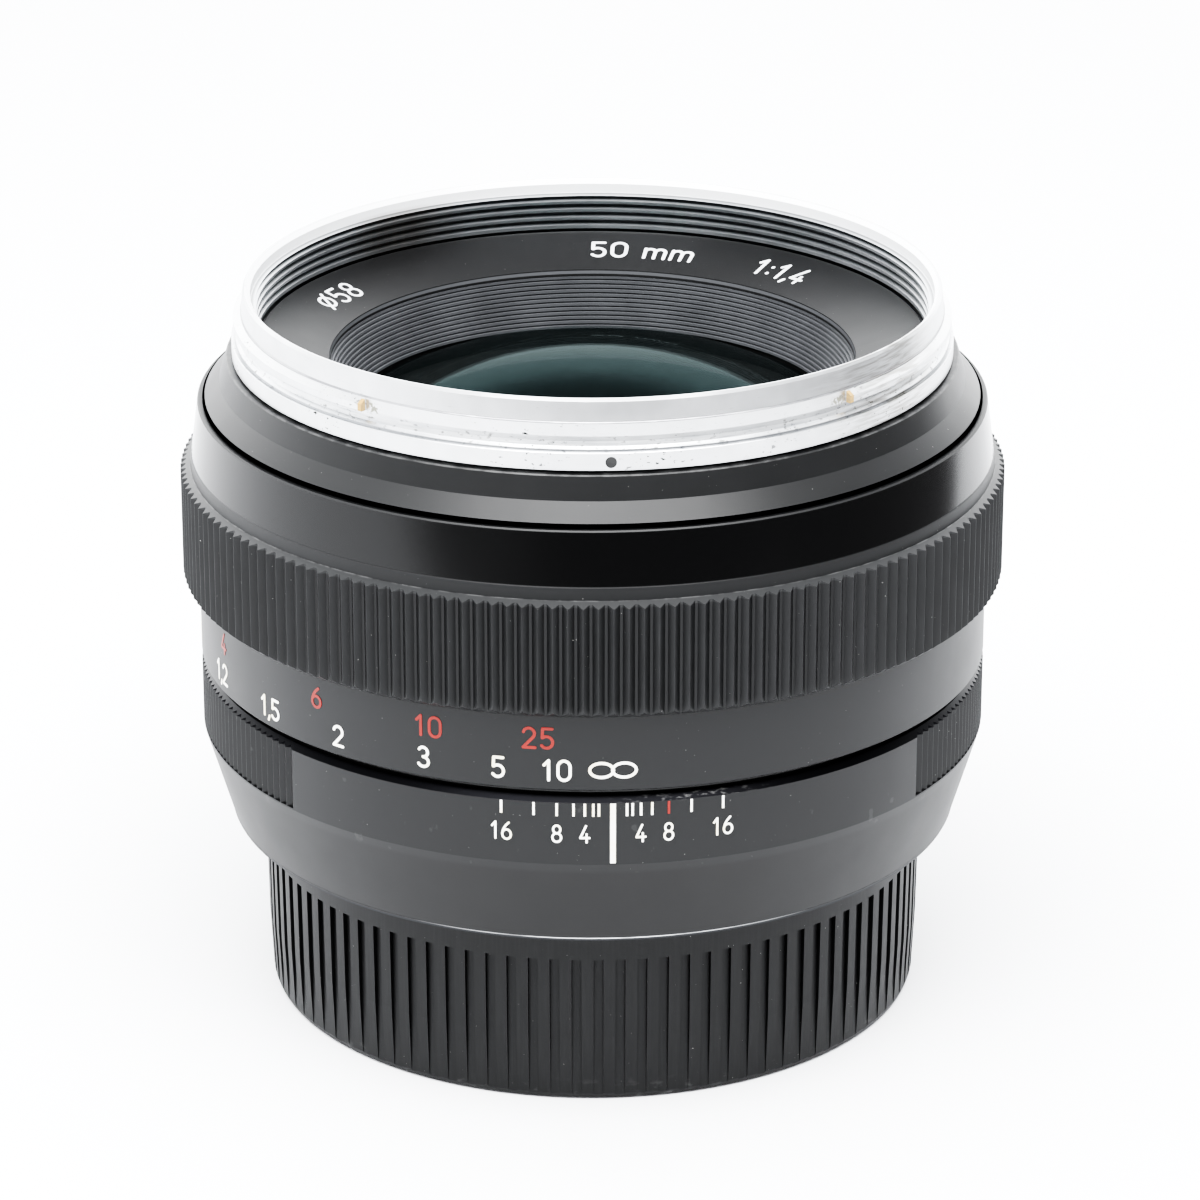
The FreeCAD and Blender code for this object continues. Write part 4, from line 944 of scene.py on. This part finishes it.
def ribbed_baffle():
    """The funnel round the front glass, with finer ribs than the CAD model's."""
    wide, narrow = baffle_bore()
    outer = radius_of("light_baffle")
    step = (BAFFLE_TOP - BAFFLE_LOW) / BAFFLE_RIBS
    outline = [(outer, BAFFLE_LOW), (outer, BAFFLE_TOP)]
    for rib in range(BAFFLE_RIBS):
        top = BAFFLE_TOP - rib * step
        land = wide + (narrow - wide) * rib / (BAFFLE_RIBS - 1)
        groove = land + RIB_GROOVE
        outline += [(land, top), (land, top - RIB_LAND * step)]
        outline += [(groove, top - RIB_SLOPE * step), (groove, top - step)]
    outline[-1] = (narrow + RIB_GROOVE, BAFFLE_LOW)
    piece = spin("baffle_ribs", outline, "lens_head", OWN_FINISHES["light_baffle"])
    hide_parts("light_baffle")


GAP_LOW = RING_TOP + 0.12


def shadow_line():
    """The gap round the front barrel, just over the focus ring, as a black ring of painted shadow."""
    outline = [(FRONT_RADIUS - 0.08, GAP_LOW), (FRONT_RADIUS + 0.10, GAP_LOW),
               (FRONT_RADIUS + 0.10, GAP_LOW + 0.12), (FRONT_RADIUS - 0.05, GAP_LOW + 0.26),
               (FRONT_RADIUS - 0.11, GAP_LOW + 0.20)]
    # painted shadow: a black ring where the gap's shade falls
    spin("front_gap_painted_shadow", outline, "lens_head", painted_shadow_finish())


def bright_edge():
    """The hairline of chrome between the barrel and the cap, coloured with a painted highlight in front."""
    edge = surface_at("fixed_barrel", 0.0, BARREL_LOW + 0.03)[0].xy.length / MM
    inner, outer = edge - 0.06, edge + 0.02
    low, high = BARREL_LOW - 0.04, BARREL_LOW + 0.04
    outline = [(inner, low), (outer, low), (outer, high), (inner, high)]
    spin("bright_edge", outline, "barrel", painted_hairline_finish())


# ------------------------------------------------------------- dust and specks


# a flake rises to FLAKE_PEAK of its size, and its edge and its root lie this deep in the surface
FLAKE_SIDES = 7
FLAKE_PEAK = 0.25
FLAKE_SINK = 0.010
FLAKE_ROOT = 0.03


def flakes(name, body, material, places, smallest, largest):
    """Thin irregular flakes lying on CAD surfaces, as closed shells in one mesh."""
    points, faces = [], []
    for node, bearing, height in places:
        centre, normal = surface_at(node, bearing, height)
        across = normal.cross(Vector((0.0, 0.0, 1.0))).normalized()
        along = normal.cross(across).normalized()
        size = draw.uniform(smallest, largest) * MM
        longer = draw.uniform(0.5, 1.6)
        start = len(points)
        peak, root = start + FLAKE_SIDES, start + FLAKE_SIDES + 1
        for i in range(FLAKE_SIDES):
            angle = 2 * math.pi * i / FLAKE_SIDES
            reach = size * draw.uniform(0.65, 1.1)
            rim = centre + across * reach * longer * math.cos(angle) + along * reach * math.sin(angle)
            points.append(rim - normal * FLAKE_SINK * MM)
            follow = (i + 1) % FLAKE_SIDES
            faces.append((start + i, start + follow, peak))
            faces.append((start + follow, start + i, root))
        points.append(centre + normal * size * FLAKE_PEAK)
        points.append(centre - normal * FLAKE_ROOT * MM)
    mesh = bpy.data.meshes.new(name)
    mesh.from_pydata(points, [], faces)
    mesh.update()
    mesh.materials.append(material)
    return stand(bpy.data.objects.new(name, mesh), body)


def scatter(node, count, low, high):
    """Random places on a node between two heights."""
    return [(node, draw.uniform(-178, 178), draw.uniform(low, high)) for _ in range(count)]


def specks():
    """Pale dust on the knurl and the front cone, and dark grime in the filter ring's groove."""
    pale = dust_finish("dust_pale", (0.80, 0.79, 0.76), (0.50, 0.49, 0.47))
    dark = dust_finish("grime_dark", (0.020, 0.018, 0.016), (0.008, 0.008, 0.008))
    knurl = scatter("focus_ring", 44, KNURL_LOW + 0.3, KNURL_TOP)
    flakes("ring_dust", "focus_ring", pale, knurl, 0.03, 0.06)
    cone = scatter("front_barrel", 14, RING_TOP + 0.6, FRONT_TOP - 0.4)
    flakes("front_dust", "lens_head", pale, cone, 0.02, 0.05)
    grime = scatter("filter_ring", 34, RIM_TOP - GROOVE_LOW + 0.1, RIM_TOP - GROOVE_TOP - 0.1)
    grime += scatter("filter_ring", 16, RIM_TOP - SKIRT_LOW, RIM_TOP - GROOVE_LOW - 0.2)
    flakes("rim_grime", "lens_head", dark, grime, 0.03, 0.09)


# --------------------------------------------------------------- studio, camera


# the camera stands at a bearing and distance from the axis and a height, looks down by a pitch,
# and is turned a little off the axis by a yaw
CAMERA_BEARING = -2.78
CAMERA_DISTANCE = 431.93
CAMERA_HEIGHT = 206.99
CAMERA_PITCH = 21.81
CAMERA_YAW = 0.085
FOCAL_LENGTH = 160.16
SENSOR_WIDTH = 36.0


def camera():
    data = bpy.data.cameras.new("camera")
    data.sensor_width = SENSOR_WIDTH
    data.lens = FOCAL_LENGTH
    view = bpy.data.objects.new("camera", data)
    bearing = math.radians(CAMERA_BEARING)
    away = CAMERA_DISTANCE * MM
    view.location = (away * math.sin(bearing), -away * math.cos(bearing), CAMERA_HEIGHT * MM)
    view.rotation_euler = (math.radians(90 - CAMERA_PITCH), 0.0, math.radians(CAMERA_BEARING - CAMERA_YAW))
    bpy.context.scene.collection.objects.link(view)
    bpy.context.scene.camera = view


# the studio's own sizes are in metres
PANEL_PLACE = (0.0, -0.285, 0.64)
PANEL_AIM = (0.0, 0.0, 0.05)
PANEL_WIDE = 0.72
PANEL_TALL = 0.46
PANEL_RADIANCE = 8.8


def overhead_panel():
    """A soft rectangular light over the front of the lens."""
    data = bpy.data.lights.new("overhead", "AREA")
    data.shape = "RECTANGLE"
    data.size = PANEL_WIDE
    data.size_y = PANEL_TALL
    data.energy = PANEL_RADIANCE * math.pi * PANEL_WIDE * PANEL_TALL
    light = bpy.data.objects.new("overhead", data)
    light.location = PANEL_PLACE
    light.rotation_euler = (Vector(PANEL_AIM) - Vector(PANEL_PLACE)).to_track_quat("-Z", "Y").to_euler()
    bpy.context.scene.collection.objects.link(light)


TABLE_FRONT = -0.275
TABLE_RIGHT = 0.20
TABLE_LEFT = -1.5
TABLE_BACK = 4.0
CORNER_CUT = 0.08


def floor():
    """A pale table that runs far to the back and left, and ends near the lens in front."""
    mesh = bpy.data.meshes.new("table")
    corners = [(TABLE_LEFT, TABLE_FRONT, 0), (0, TABLE_FRONT, 0),
               (TABLE_RIGHT, TABLE_FRONT + CORNER_CUT, 0),
               (TABLE_RIGHT, TABLE_BACK, 0), (TABLE_LEFT, TABLE_BACK, 0)]
    mesh.from_pydata(corners, [], [range(len(corners))])
    f = Finish("table_white")
    mesh.materials.append(f.finish(f.tint(f.noise(0.01), (0.90, 0.91, 0.93), (0.92, 0.92, 0.93)), 0.7))
    table = bpy.data.objects.new("table", mesh)
    bpy.context.scene.collection.objects.link(table)


# the darkness below the table's edge fades out over this many degrees above the horizon
FADE = 12.0


class Room:
    """The world's brightness, built up from soft patches of directions."""

    def __init__(self):
        self.world = bpy.data.worlds.new("room")
        self.world.use_nodes = True
        self.nodes, self.links = self.world.node_tree.nodes, self.world.node_tree.links
        self.way = self.nodes.new("ShaderNodeTexCoord").outputs["Generated"]

    def patch(self, azimuth, elevation, far, near):
        """1 within near degrees of a direction, falling to 0 at far degrees; azimuth 0 is the front."""
        level = math.cos(math.radians(elevation))
        turn = math.radians(azimuth)
        towards = (level * math.sin(turn), -level * math.cos(turn), math.sin(math.radians(elevation)))
        dot = self.nodes.new("ShaderNodeVectorMath")
        dot.operation = "DOT_PRODUCT"
        dot.inputs[1].default_value = towards
        self.links.new(self.way, dot.inputs[0])
        span = self.nodes.new("ShaderNodeMapRange")
        span.interpolation_type = "SMOOTHSTEP"
        span.inputs["From Min"].default_value = math.cos(math.radians(far))
        span.inputs["From Max"].default_value = math.cos(math.radians(near))
        self.links.new(dot.outputs["Value"], span.inputs["Value"])
        return span.outputs[0]

    def low(self, patch):
        """The part of a patch below the horizon, fading out FADE degrees above it."""
        parts = self.nodes.new("ShaderNodeSeparateXYZ")
        self.links.new(self.way, parts.inputs[0])
        fade = self.nodes.new("ShaderNodeMapRange")
        fade.inputs["From Min"].default_value = math.sin(math.radians(FADE))
        fade.inputs["From Max"].default_value = 0.0
        self.links.new(parts.outputs[2], fade.inputs["Value"])
        product = self.nodes.new("ShaderNodeMath")
        product.operation = "MULTIPLY"
        self.links.new(patch, product.inputs[0])
        self.links.new(fade.outputs[0], product.inputs[1])
        return product.outputs[0]

    def mix(self, share, first, second):
        """Blend a colour, plain or from a node, into another one."""
        blend = self.nodes.new("ShaderNodeMix")
        blend.data_type = "RGBA"
        self.links.new(share, blend.inputs[0])
        if isinstance(first, bpy.types.NodeSocket):
            self.links.new(first, blend.inputs[6])
        else:
            blend.inputs[6].default_value = (*first, 1.0)
        blend.inputs[7].default_value = (*second, 1.0)
        return blend.outputs[2]


def world():
    """White walls to the left and behind; duller to the front and right, and dark below the table's edge."""
    room = Room()
    colour = room.mix(room.patch(-170.0, 5.0, 75.0, 25.0), (2.8, 2.85, 2.9), (4.6, 4.65, 4.7))
    colour = room.mix(room.patch(180.0, 58.0, 32.0, 16.0), colour, (1.2, 1.22, 1.25))
    left = room.patch(-20.0, -5.0, 75.0, 15.0)
    right = room.patch(52.0, -5.0, 84.0, 58.0)
    colour = room.mix(left, colour, (1.9, 1.92, 1.95))
    colour = room.mix(right, colour, (1.5, 1.52, 1.55))
    colour = room.mix(room.low(left), colour, (0.80, 0.81, 0.82))
    colour = room.mix(room.low(right), colour, (0.50, 0.50, 0.51))
    seen = room.nodes.new("ShaderNodeLightPath")
    colour = room.mix(seen.outputs["Is Camera Ray"], colour, (6.0, 6.0, 6.0))
    room.links.new(colour, room.nodes["Background"].inputs["Color"])
    bpy.context.scene.world = room.world


def studio():
    scene = bpy.context.scene
    scene.view_settings.view_transform = "AgX"
    scene.view_settings.look = "AgX - Very High Contrast"
    scene.cycles.max_bounces = 24
    floor()
    world()
    overhead_panel()


dress_nodes()
distance_scales()
depth_scale()
ring_marks()
ribbed_baffle()
shadow_line()
bright_edge()
specks()
camera()
studio()
